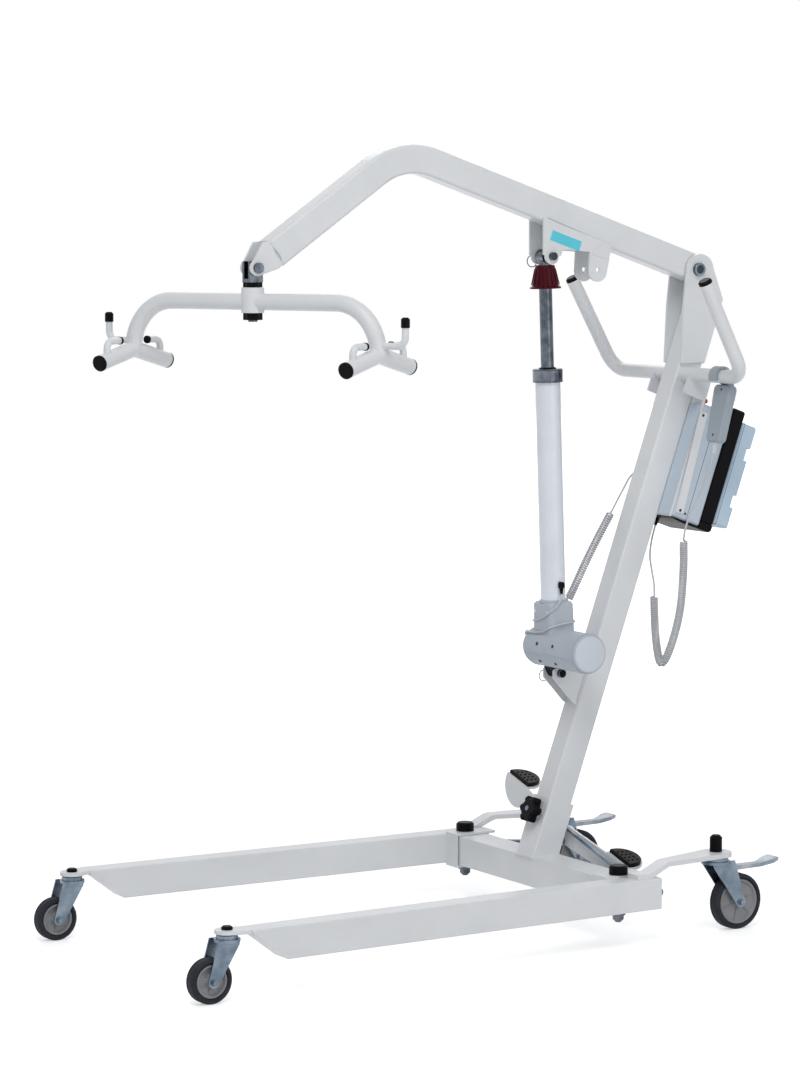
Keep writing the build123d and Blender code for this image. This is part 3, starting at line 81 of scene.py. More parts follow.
camera_data = bpy.data.cameras.new("camera")
camera_data.sensor_fit = "AUTO"
camera_data.sensor_width = SENSOR
camera_data.lens = FOCAL_PX * SENSOR / PHOTO_H
camera = bpy.data.objects.new("camera", camera_data)
bpy.context.scene.collection.objects.link(camera)
gaze = Vector((
    -math.sin(CAMERA_AZIMUTH) * math.cos(CAMERA_PITCH),
    math.cos(CAMERA_AZIMUTH) * math.cos(CAMERA_PITCH),
    -math.sin(CAMERA_PITCH),
))
camera.location = CAMERA_AT
camera.rotation_euler = gaze.to_track_quat("-Z", "Y").to_euler()
bpy.context.scene.camera = camera

# ---- curves ------------------------------------------------------------------------------
THIN = 0.002  # the points' own radius, kept small so that a curve's box stays near its line
LINE_STEPS = 24


def new_curve(name, kind, places):
    """A curve's data and its one spline, whose points are the given ones, in millimetres."""
    data = bpy.data.curves.new(name, "CURVE")
    data.dimensions = "3D"
    spline = data.splines.new(kind)
    spline.points.add(len(places) - 1)
    for point, place in zip(spline.points, places):
        point.co = (*(Vector(place) * MM), 1)
    return data, spline


def round_section(data, radius, resolution):
    """Gives a curve a round section with a radius in millimetres."""
    for point in data.splines[0].points:
        point.radius *= THIN
    data.bevel_depth = radius * MM / THIN
    data.bevel_resolution = resolution


def line_curve(name, places):
    """A curve object with one smooth spline that the places, in millimetres, control."""
    data, spline = new_curve(name, "NURBS", places)
    data.resolution_u = LINE_STEPS
    spline.order_u = 3
    spline.use_endpoint_u = True
    piece = bpy.data.objects.new(name, data)
    bpy.context.scene.collection.objects.link(piece)
    return piece


def read_line(piece):
    """The points that a bare curve object passes through, in metres, with the length up to each."""
    mesh = bpy.data.meshes.new_from_object(piece)
    points = [v.co.copy() for v in mesh.vertices]
    bpy.data.meshes.remove(mesh)
    lengths = [0.0]
    for a, b in zip(points, points[1:]):
        lengths.append(lengths[-1] + (b - a).length)
    return points, lengths


def read_length(piece):
    """The curve's own length in metres, measured with its section off."""
    depth = piece.data.bevel_depth
    piece.data.bevel_depth = 0
    bpy.context.view_layer.update()
    _, lengths = read_line(piece)
    piece.data.bevel_depth = depth
    return lengths[-1]


def nearest_length(points, lengths, place):
    """How far along the line its nearest point to a place is."""
    best = min(range(len(points)), key=lambda i: (points[i] - place).length)
    return lengths[best]


def at_length(points, lengths, wanted):
    """The point at a length along the line."""
    i = 1
    while i < len(lengths) - 1 and lengths[i] < wanted:
        i += 1
    share = (wanted - lengths[i - 1]) / max(lengths[i] - lengths[i - 1], 1e-9)
    return points[i - 1].lerp(points[i], min(max(share, 0.0), 1.0))


# ---- cords -------------------------------------------------------------------------------
WIRE_D = 3.6
COIL_R = 6.2
TURN_STEPS = 16
HANDSET_TURNS, ACTUATOR_TURNS = 90, 39
EASE, EASE_STEPS = 10.0, 10  # how far outside the coil the wire starts to leave its route
EASE_GAP = 0.002  # metres of the route left out before and after the winding
TANGENT_REACH = 0.001


def smooth_step(t):
    """A share that leaves 0 and reaches 1 without a kink."""
    return t * t * (3 - 2 * t)


def wound(start, end, turns):
    """The wire of a coil: lengths along its route, each with its radius and its angle round the route."""
    reach, radius = EASE * MM, COIL_R * MM
    places = []
    for i in range(EASE_STEPS):
        t = i / EASE_STEPS
        places.append((start - reach * (1 - t) ** 2, radius * smooth_step(t), math.pi * (t * t - 1)))
    for i in range(turns * TURN_STEPS + 1):
        share = i / (turns * TURN_STEPS)
        places.append((start + (end - start) * share, radius, 2 * math.pi * i / TURN_STEPS))
    for i in range(1, EASE_STEPS + 1):
        t = 1 - i / EASE_STEPS
        angle = 2 * math.pi * turns + math.pi * (1 - t * t)
        places.append((end + reach * (1 - t) ** 2, radius * smooth_step(t), angle))
    return places


def curly_cord(name, lead, coil, tail, turns):
    """A curly cord: its route is a smooth line, and between the coil's ends the wire winds round it."""
    route = line_curve(name + "-route", lead + coil + tail)
    points, lengths = read_line(route)
    bpy.data.objects.remove(route)
    start = nearest_length(points, lengths, Vector(coil[0]) * MM)
    end = nearest_length(points, lengths, Vector(coil[-1]) * MM)
    clear = EASE * MM + EASE_GAP
    line = [p for p, s in zip(points, lengths) if s < start - clear]
    side = X_OUT
    for s, radius, angle in wound(start, end, turns):
        centre = at_length(points, lengths, s)
        ahead = at_length(points, lengths, s + TANGENT_REACH) - at_length(points, lengths, s - TANGENT_REACH)
        ahead.normalize()
        side = (side - ahead * side.dot(ahead)).normalized()
        up = ahead.cross(side)
        line.append(centre + side * (radius * math.cos(angle)) + up * (radius * math.sin(angle)))
    line += [p for p, s in zip(points, lengths) if s > end + clear]
    piece = line_curve(name, [p / MM for p in line])
    piece.data.resolution_u = 2
    round_section(piece.data, WIRE_D / 2, 3)
    return piece


CORD_SOCKET = on_mast(-5, 46, 655)
WEB_SOCKET = on_mast(-42, 25, 727)
ACTUATOR_SOCKET = Vector((-18, 59, 562))
handset_cord = curly_cord(
    "handset_cord_wire",
    [
        HANDSET_FOOT, HANDSET_FOOT + HANDSET_DOWN * 22,
        (125, 279.5, 806), (114, 270.5, 770), (104, 258, 736), (97.5, 249, 706),
    ],
    [(95, 247, 680), (92, 251, 635), (85, 248, 537), (60, 225.8, 439), (33, 231, 496), (20, 236.5, 573)],
    [
        (17, 239.5, 595), (11, 237.5, 622), (3, 238, 648), (-3, 246, 674),
        CORD_SOCKET - MAST_UP * 22, CORD_SOCKET,
    ],
    HANDSET_TURNS,
)
actuator_cord = curly_cord(
    "actuator_cord_wire",
    [ACTUATOR_SOCKET, (-25, 71, 566)],
    [(-30, 84, 575), (-31, 128, 654), (-31, 174, 725)],
    [(-33, 187, 744), (-37, 207, 770), (-41, 224, 792), WEB_SOCKET - MAST_BACK * 26, WEB_SOCKET],
    ACTUATOR_TURNS,
)
for cord, node, leaves in (
    (handset_cord, "handset_cord", HANDSET_FOOT),
    (actuator_cord, "actuator_cord", ACTUATOR_SOCKET),
):
    cord_length = read_length(cord)
    print(node, "wire length", round(cord_length, 4))
    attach(cord, "hoist_frame")
    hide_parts(node)

# ---- materials ---------------------------------------------------------------------------
MATERIALS = {}
BLOTCH = (0.35, 0.65)  # the part of a noise's range over which a colour changes
NOISE_RANGE = (0.3, 0.7)  # the part of its range that a noise mostly keeps to
BEVEL_SAMPLES = 4


def new_material(name):
    """A named material's node tree, its Principled shader and its object coordinates."""
    material = bpy.data.materials.new(name)
    material.use_nodes = True
    tree = material.node_tree
    shader = tree.nodes["Principled BSDF"]
    coords = tree.nodes.new("ShaderNodeTexCoord")
    MATERIALS[name] = material
    return tree, shader, coords.outputs["Object"]


def noise(tree, coords, scale, detail=3.0, rough=0.55):
    """A noise texture's output; scale is in cycles per metre."""
    node = tree.nodes.new("ShaderNodeTexNoise")
    node.inputs["Scale"].default_value = scale
    node.inputs["Detail"].default_value = detail
    node.inputs["Roughness"].default_value = rough
    tree.links.new(coords, node.inputs["Vector"])
    return node.outputs["Fac"]


def ramp(tree, factor, span, dark, light):
    """A colour from dark to light as the factor goes over the span."""
    node = tree.nodes.new("ShaderNodeValToRGB")
    for stop, position, colour in zip(node.color_ramp.elements, span, (dark, light)):
        stop.position = position
        stop.color = (*colour, 1)
    tree.links.new(factor, node.inputs["Fac"])
    return node.outputs["Color"]


def map_range(tree, value, span, result):
    """The value, stretched so that the span becomes the result's low and high."""
    node = tree.nodes.new("ShaderNodeMapRange")
    node.inputs["From Min"].default_value, node.inputs["From Max"].default_value = span
    node.inputs["To Min"].default_value, node.inputs["To Max"].default_value = result
    tree.links.new(value, node.inputs["Value"])
    return node.outputs["Result"]


def bump(tree, shader, height, depth, edge):
    """Relief of a depth in metres on the shader, on top of softened edges of a radius in metres."""
    node = tree.nodes.new("ShaderNodeBump")
    node.inputs["Strength"].default_value = 1.0
    node.inputs["Distance"].default_value = depth
    tree.links.new(height, node.inputs["Height"])
    if edge:
        soft = tree.nodes.new("ShaderNodeBevel")
        soft.samples = BEVEL_SAMPLES
        soft.inputs["Radius"].default_value = edge
        tree.links.new(soft.outputs["Normal"], node.inputs["Normal"])
    tree.links.new(node.outputs["Normal"], shader.inputs["Normal"])


def plain_surface(name, dark, light, rough, grain, grain_depth, metal=0.0, coat=0.0, edge=0.0,
                  blotch=6.0, specular=0.5):
    """Paint or plastic: a softly varying colour and a fine grain with a roughness that follows it.

    rough is from and to; grain and blotch are in cycles per metre; grain_depth and edge in metres.
    """
    tree, shader, coords = new_material(name)
    colour = ramp(tree, noise(tree, coords, blotch, 4), BLOTCH, dark, light)
    tree.links.new(colour, shader.inputs["Base Color"])
    fine = noise(tree, coords, grain, 2)
    tree.links.new(map_range(tree, fine, NOISE_RANGE, rough), shader.inputs["Roughness"])
    shader.inputs["Metallic"].default_value = metal
    shader.inputs["Coat Weight"].default_value = coat
    shader.inputs["Specular IOR Level"].default_value = specular
    bump(tree, shader, fine, grain_depth, edge)


def brushed(name, dark, light, rough, scale, stretch, depth, edge):
    """Metal with long fine scratches; stretch is how much each axis squeezes them."""
    tree, shader, coords = new_material(name)
    mapping = tree.nodes.new("ShaderNodeMapping")
    mapping.inputs["Scale"].default_value = stretch
    tree.links.new(coords, mapping.inputs["Vector"])
    streaks = noise(tree, mapping.outputs["Vector"], scale, 4, 0.6)
    colour = ramp(tree, noise(tree, coords, 40, 4), BLOTCH, dark, light)
    tree.links.new(colour, shader.inputs["Base Color"])
    tree.links.new(map_range(tree, streaks, NOISE_RANGE, rough), shader.inputs["Roughness"])
    shader.inputs["Metallic"].default_value = 1.0
    bump(tree, shader, streaks, depth, edge)


def zinc(name, dark, light, rough, crystals):
    """Zinc plate: crystals, so many per metre, that differ in their shine, over a cast that varies slowly."""
    tree, shader, coords = new_material(name)
    cells = tree.nodes.new("ShaderNodeTexVoronoi")
    cells.inputs["Scale"].default_value = crystals
    tree.links.new(coords, cells.inputs["Vector"])
    flakes = tree.nodes.new("ShaderNodeSeparateColor")
    tree.links.new(cells.outputs["Color"], flakes.inputs["Color"])
    cast = ramp(tree, noise(tree, coords, 30, 3), NOISE_RANGE, dark, light)
    tree.links.new(cast, shader.inputs["Base Color"])
    tree.links.new(map_range(tree, flakes.outputs["Red"], (0, 1), rough), shader.inputs["Roughness"])
    shader.inputs["Metallic"].default_value = 1.0
    bump(tree, shader, noise(tree, coords, 700, 2), 0.00002, 0.0006)


plain_surface("white_paint", (0.74, 0.755, 0.775), (0.80, 0.815, 0.83), (0.34, 0.48), 1400, 0.00003,
              coat=0.1, edge=0.0008, specular=0.4)
plain_surface("silver_tube", (0.68, 0.72, 0.77), (0.76, 0.80, 0.85), (0.34, 0.44), 1800, 0.00001,
              metal=0.15, edge=0.0005, specular=0.35)
plain_surface("housing_grey", (0.45, 0.50, 0.56), (0.51, 0.56, 0.62), (0.44, 0.58), 2200, 0.00006,
              edge=0.0010, specular=0.35)
plain_surface("cap_grey", (0.62, 0.67, 0.73), (0.68, 0.73, 0.79), (0.44, 0.58), 2200, 0.00006,
              edge=0.0010, specular=0.35)
plain_surface("control_grey", (0.50, 0.58, 0.67), (0.56, 0.64, 0.73), (0.46, 0.60), 2200, 0.00006,
              edge=0.0014, specular=0.35)
plain_surface("battery_grey", (0.52, 0.66, 0.79), (0.58, 0.72, 0.85), (0.46, 0.60), 2200, 0.00006,
              edge=0.0016, specular=0.35)
plain_surface("handset_grey", (0.34, 0.39, 0.44), (0.40, 0.45, 0.50), (0.42, 0.55), 2200, 0.00005,
              edge=0.0008, specular=0.35)
plain_surface("button_grey", (0.14, 0.17, 0.20), (0.18, 0.21, 0.24), (0.40, 0.52), 2000, 0.00004,
              edge=0.0004, specular=0.3)
plain_surface("black_plastic", (0.0015, 0.0015, 0.0025), (0.0035, 0.0035, 0.005), (0.34, 0.48), 1600, 0.00006,
              edge=0.0010, specular=0.07)
plain_surface("red_plastic", (0.052, 0.001, 0.005), (0.078, 0.0015, 0.008), (0.26, 0.38), 1500, 0.00003,
              edge=0.0008, specular=0.12)
plain_surface("hub_grey", (0.26, 0.265, 0.275), (0.31, 0.315, 0.325), (0.42, 0.56), 1500, 0.00006,
              edge=0.0008, specular=0.3)
plain_surface("tyre_grey", (0.018, 0.020, 0.027), (0.030, 0.032, 0.040), (0.60, 0.78), 900, 0.00012,
              edge=0.0012, blotch=30, specular=0.2)
plain_surface("cord_grey", (0.54, 0.55, 0.57), (0.60, 0.61, 0.63), (0.44, 0.56), 1200, 0.00003,
              blotch=20, specular=0.3)
plain_surface("label_blue", (0.11, 0.62, 0.76), (0.14, 0.67, 0.81), (0.30, 0.40), 900, 0.00001,
              blotch=12, specular=0.35)
plain_surface("pale_plastic", (0.62, 0.65, 0.68), (0.68, 0.71, 0.74), (0.30, 0.42), 1800, 0.00004,
              edge=0.0005, specular=0.35)
plain_surface("stop_red", (0.50, 0.012, 0.016), (0.58, 0.018, 0.022), (0.24, 0.34), 1500, 0.00003,
              edge=0.0006, specular=0.3)
plain_surface("dark_steel", (0.030, 0.036, 0.046), (0.055, 0.062, 0.075), (0.34, 0.46), 1500, 0.00004,
              metal=0.7, edge=0.0005, specular=0.3)
# The chrome's base colour is kept very dark as a painted reflection: it stands in for dark surroundings
# mirrored in the rod, which the white world here does not have.
brushed("chrome", (0.055, 0.068, 0.085), (0.15, 0.165, 0.19), (0.08, 0.20), 90, (1, 1, 0.06), 0.00001, 0.0004)
brushed("pedal_grey", (0.20, 0.23, 0.27), (0.34, 0.37, 0.41), (0.30, 0.46), 60, (1, 0.08, 1), 0.00003, 0.0008)
zinc("zinc_steel", (0.115, 0.155, 0.205), (0.24, 0.285, 0.335), (0.26, 0.44), 380)

OTHER_LOOKS = {"handset": "handset_grey", "stop_button": "stop_red"}
for entry in frame["record"]["subparts"]:
    node = NODES[entry["node"]]
    node.data.materials.clear()
    node.data.materials.append(MATERIALS[OTHER_LOOKS.get(entry["node"], entry["material_slot"])])
for cord in (handset_cord, actuator_cord):
    cord.data.materials.append(MATERIALS["cord_grey"])

# ---- making pieces -----------------------------------------------------------------------
CAD_SHARP, TURNED_SHARP = math.radians(28), math.radians(35)
BEAD_STEP = 2.6
BEAD_CREST, BEAD_TROUGH = 1.12, 0.86


def at_place(place, x, y, z):
    """A matrix, in metres, with its origin at a place in millimetres and its axes along x, y and z."""
    return Matrix.Translation(Vector(place) * MM) @ Matrix((x, y, z)).transposed().to_4x4()


def facing(place, out):
    """A matrix, in metres, whose origin is at a place in millimetres and whose Z runs along out."""
    z = Vector(out).normalized()
    x = Vector((0, 0, 1)).cross(z)
    if x.length < 0.01:
        x = X_OUT.copy()
    x.normalize()
    return at_place(place, x, z.cross(x), z)


def circle(radius, count):
    """Points (x, y) round a circle, from the X axis on."""
    turns = [2 * math.pi * i / count for i in range(count)]
    return [(radius * math.cos(a), radius * math.sin(a)) for a in turns]


def ring_of(centre, radius, normal, count=20):
    """Points round a circle in space, in millimetres."""
    at = facing(centre, normal)
    return [(at @ Vector((x * MM, y * MM, 0))) / MM for x, y in circle(radius, count)]


def put_on(piece, body, slot, look=None):
    """Gives a piece its finish and lets it ride on a body."""
    piece.data.materials.append(MATERIALS[look or slot])
    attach(piece, body)
    return piece


def place_piece(name, data, body, slot, look=None):
    """An object of the mesh or curve, riding on a body, with its finish."""
    piece = bpy.data.objects.new(name, data)
    bpy.context.scene.collection.objects.link(piece)
    return put_on(piece, body, slot, look)


def mesh_piece(name, bm, at, body, slot, look, sharp=None):
    """An object of the mesh that was built at the origin, placed by the matrix."""
    bm.transform(at)
    mesh = bpy.data.meshes.new(name)
    bm.to_mesh(mesh)
    bm.free()
    if sharp:
        mesh.set_sharp_from_angle(angle=sharp)
    return place_piece(name, mesh, body, slot, look)


def turned(name, body, slot, profile, at, look=None, steps=32):
    """A turned piece: a profile of (radius, height) pairs in millimetres, round the matrix's Z axis."""
    bm = bmesh.new()
    rings = []
    for radius, height in profile:
        places = circle(radius * MM, steps) if radius else [(0, 0)]
        rings.append([bm.verts.new((x, y, height * MM)) for x, y in places])
    for low, high in zip(rings, rings[1:]):
        for i in range(steps):
            j = (i + 1) % steps
            if len(low) == 1:
                bm.faces.new((low[0], high[i], high[j]))
            elif len(high) == 1:
                bm.faces.new((low[i], low[j], high[0]))
            else:
                bm.faces.new((low[i], low[j], high[j], high[i]))
    bmesh.ops.recalc_face_normals(bm, faces=bm.faces)
    for face in bm.faces:
        face.smooth = True
    return mesh_piece(name, bm, at, body, slot, look, TURNED_SHARP)


def plate(name, body, slot, outline, thickness, at, look=None, edge=0.4):
    """A flat piece: an outline of (x, y) pairs, raised along the matrix's Z, with its edges broken."""
    bm = bmesh.new()
    base = bm.faces.new([bm.verts.new((x * MM, y * MM, 0)) for x, y in outline])
    raised = bmesh.ops.extrude_face_region(bm, geom=[base])
    tops = [item for item in raised["geom"] if isinstance(item, bmesh.types.BMVert)]
    bmesh.ops.translate(bm, vec=(0, 0, thickness * MM), verts=tops)
    bmesh.ops.recalc_face_normals(bm, faces=bm.faces)
    bmesh.ops.bevel(
        bm, geom=list(bm.edges), offset=edge * MM, segments=2, profile=0.5,
        affect="EDGES", clamp_overlap=True,
    )
    return mesh_piece(name, bm, at, body, slot, look)


def wire(name, body, slot, points, radius, look=None, closed=False):
    """A round wire or lead on a smooth line through space."""
    piece = line_curve(name, points)
    spline = piece.data.splines[0]
    if closed:
        spline.use_endpoint_u = False
        spline.use_cyclic_u = True
    piece.data.resolution_u = 8
    round_section(piece.data, radius, 4)
    return put_on(piece, body, slot, look)


def straight(a, b):
    """The control points of a wire that runs straight from a to b."""
    return [a, a.lerp(b, 0.5), b]


def weld(name, body, corners, radius=1.7, closed=False):
    """A weld bead under the paint: a rippled roll along straight runs between corners."""
    stops = [Vector(corner) for corner in corners]
    if closed:
        stops.append(stops[0])
    line = []
    for a, b in zip(stops, stops[1:]):
        count = max(2, round((b - a).length / BEAD_STEP) * 2)
        line += [a.lerp(b, i / count) for i in range(count)]
    if not closed:
        line.append(stops[-1])
    data, spline = new_curve(name, "POLY", line)
    for i, point in enumerate(spline.points):
        point.radius = BEAD_CREST if i % 2 else BEAD_TROUGH
    spline.use_cyclic_u = closed
    round_section(data, radius, 2)
    data.use_fill_caps = not closed
    return place_piece(name, data, body, "white_paint")


def pin_cap(name, body, place, face_x, radius, thick, look):
    """A domed head on a pin's near end."""
    profile = [
        (0, thick), (radius * 0.55, thick * 0.96), (radius * 0.88, thick * 0.72),
        (radius, thick * 0.3), (radius, -0.4), (0, -0.4),
    ]
    turned(name, body, "black_plastic", profile, facing((face_x, place.y, place.z), X_OUT), look)


SCREW_RISE, SCREW_RECESS = 0.42, 0.9


def screw(name, body, place, out, radius, look="dark_steel"):
    """A pan head with a recess in its middle, standing on a face."""
    rise = radius * SCREW_RISE
    floor = rise - SCREW_RECESS
    profile = [
        (0, floor), (radius * 0.16, floor), (radius * 0.30, rise * 0.98),
        (radius * 0.72, rise * 0.84), (radius, rise * 0.25), (radius, -0.5), (0, -0.5),
    ]
    turned(name, body, "zinc_steel", profile, facing(place, out), look, 20)


def body_of(node):
    """The body that carries a node."""
    return next(body for body, nodes in frame["record"]["behaviour"]["bodies"].items() if node in nodes)


# ---- smooth CAD surfaces -----------------------------------------------------------------
for node in NODES.values():
    if node.type == "MESH":
        node.data.polygons.foreach_set("use_smooth", [True] * len(node.data.polygons))
        node.data.set_sharp_from_angle(angle=CAD_SHARP)

# ---- pins: dark heads, a washer and cotter rings -----------------------------------------
BOOM_BOLT_X = 33.5
COTTER_D = 1.8
pin_cap("lower_pin_head", "hoist_frame", LOWER_PIN, 25.0, 6.8, 1.6, "black_plastic")
pin_cap("upper_pin_head", "boom", UPPER_PIN, 31.0, 6.4, 1.5, "dark_steel")
pin_cap("boom_pivot_head", "hoist_frame", BOOM_PIVOT, BOOM_BOLT_X, 8.5, 1.8, "dark_steel")
turned(
    "boom_pivot_washer", "hoist_frame", "zinc_steel",
    [(8.0, 0.9), (11.4, 0.9), (11.9, 0.4), (11.9, -0.3), (8.0, -0.3)],
    facing((BOOM_BOLT_X, BOOM_PIVOT.y, BOOM_PIVOT.z), X_OUT),
)
for name, body, centre, radius in (
    ("upper_cotter_ring", "boom", (-31.0, 0.5, 1186.5), 10.5),
    ("lower_cotter_ring", "hoist_frame", (-27.0, 26.5, 438.5), 10.0),
):
    wire(name, body, "chrome", ring_of(centre, radius, X_OUT), COTTER_D / 2, closed=True)

# ---- actuator ----------------------------------------------------------------------------
MOTOR_Y, MOTOR_Z, MOTOR_R = 27.0, 493.0, 36.0
MOTOR_FACE_X = 120.0
TUBE_FOOT_T = 129.4
TUBE_TOP_T = 548.6
END_RING_R = 26.9


def on_motor(x, degrees, lift=0.0):
    """A point on the motor's barrel and the way out there; degrees run from the top to the front."""
    angle = math.radians(degrees)
    out = Vector((0, -math.sin(angle), math.cos(angle)))
    return Vector((x, MOTOR_Y, MOTOR_Z)) + out * (MOTOR_R + lift), out


for i, (x, degrees) in enumerate(((2.0, 76), (52.0, 76), (2.0, 130), (52.0, 130))):
    spot, out = on_motor(x, degrees)
    screw(f"barrel_screw_{i}", "actuator", spot, out, 3.4)
for i, x in enumerate((-36.0, 112.4)):
    seam = ring_of((x, MOTOR_Y, MOTOR_Z), MOTOR_R - 0.1, X_OUT, 40)
    wire(f"barrel_seam_{i}", "actuator", "housing_grey", seam, 0.7, closed=True)
parting = [on_motor(x, 104, 0.1)[0] for x in (-34, 0, 40, 80, 111)]
wire("barrel_parting_line", "actuator", "housing_grey", parting, 0.55)
turned(
    "barrel_cap_boss", "actuator", "housing_grey",
    [(0, 0.9), (30.6, 0.9), (31.4, 0.6), (31.8, 0.0), (31.8, -0.6), (0, -0.6)],
    facing((MOTOR_FACE_X, MOTOR_Y, MOTOR_Z), X_OUT), "cap_grey", steps=64,
)
for i, side in enumerate((-1, 1)):
    shoulder = on_actuator(side * 20, -27.1, 112)
    screw(f"shoulder_screw_{i}", "actuator", shoulder, (0, -1, 0), 3.0, "silver_tube")
turned(
    "tube_seat_ring", "actuator", "housing_grey",
    [(22.6, 4.0), (24.2, 4.0), (25.4, 3.0), (25.6, -0.6), (22.6, -0.6)],
    facing(on_actuator(0, 0, TUBE_FOOT_T), ACT_UP), steps=48,
)
for i, t in enumerate((526.5, 546.5)):
    groove = ring_of(on_actuator(0, 0, t), END_RING_R, ACT_UP, 32)
    wire(f"end_ring_groove_{i}", "actuator", "zinc_steel", groove, 0.5, "dark_steel", True)
turned(
    "rod_wiper", "actuator", "black_plastic",
    [(12.0, 2.4), (13.6, 2.4), (15.6, 0.8), (15.6, -0.4), (12.0, -0.4)],
    facing(on_actuator(0, 0, TUBE_TOP_T), ACT_UP), steps=40,
)

# ---- the motor's lead, which goes round the housing's neck to a plug beside the tube -----
LEAD_D = 3.6
LEAD_ROOT = Vector((-46, 3.0, 516.5))
PLUG_AT = Vector((27.2, 28, 598))
motor_lead = wire(
    "motor_lead", "actuator", "cord_grey",
    [
        LEAD_ROOT, (-38, -3.0, 520), (-22, -2.0, 520), (0, -1.0, 521.5), (16, -0.5, 526), (25.3, 0, 531),
        (32.6, 7.5, 535), (32.6, 30, 538.5), (32.5, 52, 540), (25.3, 59.2, 541), (0, 59.4, 543),
        (-25.3, 59.2, 542), (-32.5, 52, 541), (-32.4, 30, 540), (-32.4, 7.8, 540), (-25.3, 0.6, 541),
        (-6, 0.4, 544), (12, 0.2, 550), (24.8, 0.3, 557.5), (31.8, 7, 565), (32.0, 18, 574), (30.0, 26, 584),
        PLUG_AT - Vector((0, 0, 6)), PLUG_AT,
    ],
    LEAD_D / 2,
)
lead_plug = turned(
    "motor_lead_plug", "actuator", "black_plastic",
    [(0, 7), (3.0, 7), (3.4, 6), (3.4, 1), (2.8, 0.2), (2.6, -3), (2.1, -8), (0, -8)],
    facing(PLUG_AT, (0, 0, 1)),
)
lead_root = turned(
    "motor_lead_root", "actuator", "housing_grey",
    [(0, 6), (2.4, 6), (3.2, 3.5), (4.6, 1.2), (5.2, -2), (0, -2)],
    facing(LEAD_ROOT, (0.66, -0.58, 0.48)),
)
plate(
    "motor_lead_clip", "actuator", "black_plastic",
    [(-4.2, 0), (4.2, 0), (4.2, 9), (2.6, 11), (-2.6, 11), (-4.2, 9)], 10.0,
    facing((21.6, 28, 602.5), X_OUT), edge=0.8,
)
round(read_length(motor_lead), 3)

# ---- collar ------------------------------------------------------------------------------
COLLAR_FOOT, COLLAR_TOP = (25.4, 698.0), (18.6, 727.0)  # the radius at each height up the actuator
low_ring, high_ring = (
    [on_actuator(x, y, t) for x, y in circle(radius, 16)] for radius, t in (COLLAR_FOOT, COLLAR_TOP)
)
for i, (low, high) in enumerate(zip(low_ring, high_ring)):
    wire(f"collar_rib_{i:02d}", "collar", "red_plastic", straight(low, high), 0.9)

# ---- boom --------------------------------------------------------------------------------
BRACKET_SLOPE = math.radians(18.4)
BRACKET_X = 20.8
FLARE_X = BRACKET_X * 1.155
plate(
    "bracket_sticker", "boom", "cord_grey", [(0, 0), (66, 0), (66, 18.5), (0, 18.5)], 0.25,
    at_place(
        (24.0, 2.0, 1224.5),
        Vector((0, math.cos(BRACKET_SLOPE), -math.sin(BRACKET_SLOPE))),
        Vector((0, math.sin(BRACKET_SLOPE), math.cos(BRACKET_SLOPE))),
        X_OUT,
    ),
    "label_blue", 0.1,
)
for i, way in enumerate((-1, 1)):
    x, flare = way * BRACKET_X, way * FLARE_X
    weld(f"bracket_weld_{i}", "boom", [(x, 0, 1264.4), (x, 134, 1215.8)], 1.2)
    weld(f"bracket_crease_{i}", "boom", [(flare, 92, 1203), (flare, 112, 1218)], 0.7)
    weld(f"bracket_fold_{i}", "boom", [(flare, 92, 1199), (flare, 130, 1189)], 0.7)
weld("tip_weld", "boom", ring_of((0, -548.5, 1203.8), 24, (0, -0.824, -0.567), 16), 1.3, True)

# ---- mast --------------------------------------------------------------------------------
SOCKET_X, SOCKET_FRONT, SOCKET_BACK, SOCKET_Z = 27.7, -32.4, 26.4, 118
weld(
    "socket_foot_weld", "hoist_frame",
    [
        (-SOCKET_X, SOCKET_FRONT, SOCKET_Z), (SOCKET_X, SOCKET_FRONT, SOCKET_Z),
        (SOCKET_X, SOCKET_BACK, SOCKET_Z), (-SOCKET_X, SOCKET_BACK, SOCKET_Z),
    ],
    2.0, True,
)
for i, side in enumerate((-1, 1)):
    lug = [on_mast(side * 18.6, -25.3, s) for s in (284, 352)]
    weld(f"actuator_bracket_weld_{i}", "hoist_frame", lug, 1.7)
    weld(f"handle_weld_{i}", "hoist_frame", ring_of((side * 22.9, 300, 980), 12.8, X_OUT, 18), 1.5, True)
    weld(f"ear_foot_weld_{i}", "hoist_frame", [(side * 23.2, y, 999.4) for y in (290, 339)], 1.6)
    ear = [on_mast(side * 23.0, 25.2, s) for s in (945, 1050)]
    weld(f"ear_back_weld_{i}", "hoist_frame", ear, 1.4)

# ---- casters -----------------------------------------------------------------------------
CASTERS = (("front", 286.8, -829.0, 37.5), ("rear", 254.6, 251.4, 50.0))
FORK_FACE, HUB_FACE = 20.5, 10.0  # how far each stands from the wheel's middle
TYRE_T = 10.0
SPOKES, SPOKE_TURN = 6, 0.3
SPOKE_FOOT, SPOKE_TOP = (11.5, 8.2), (6.5, 6.1)  # radius or margin inside the rim, and way out
TREAD_LINE_X = 5.0


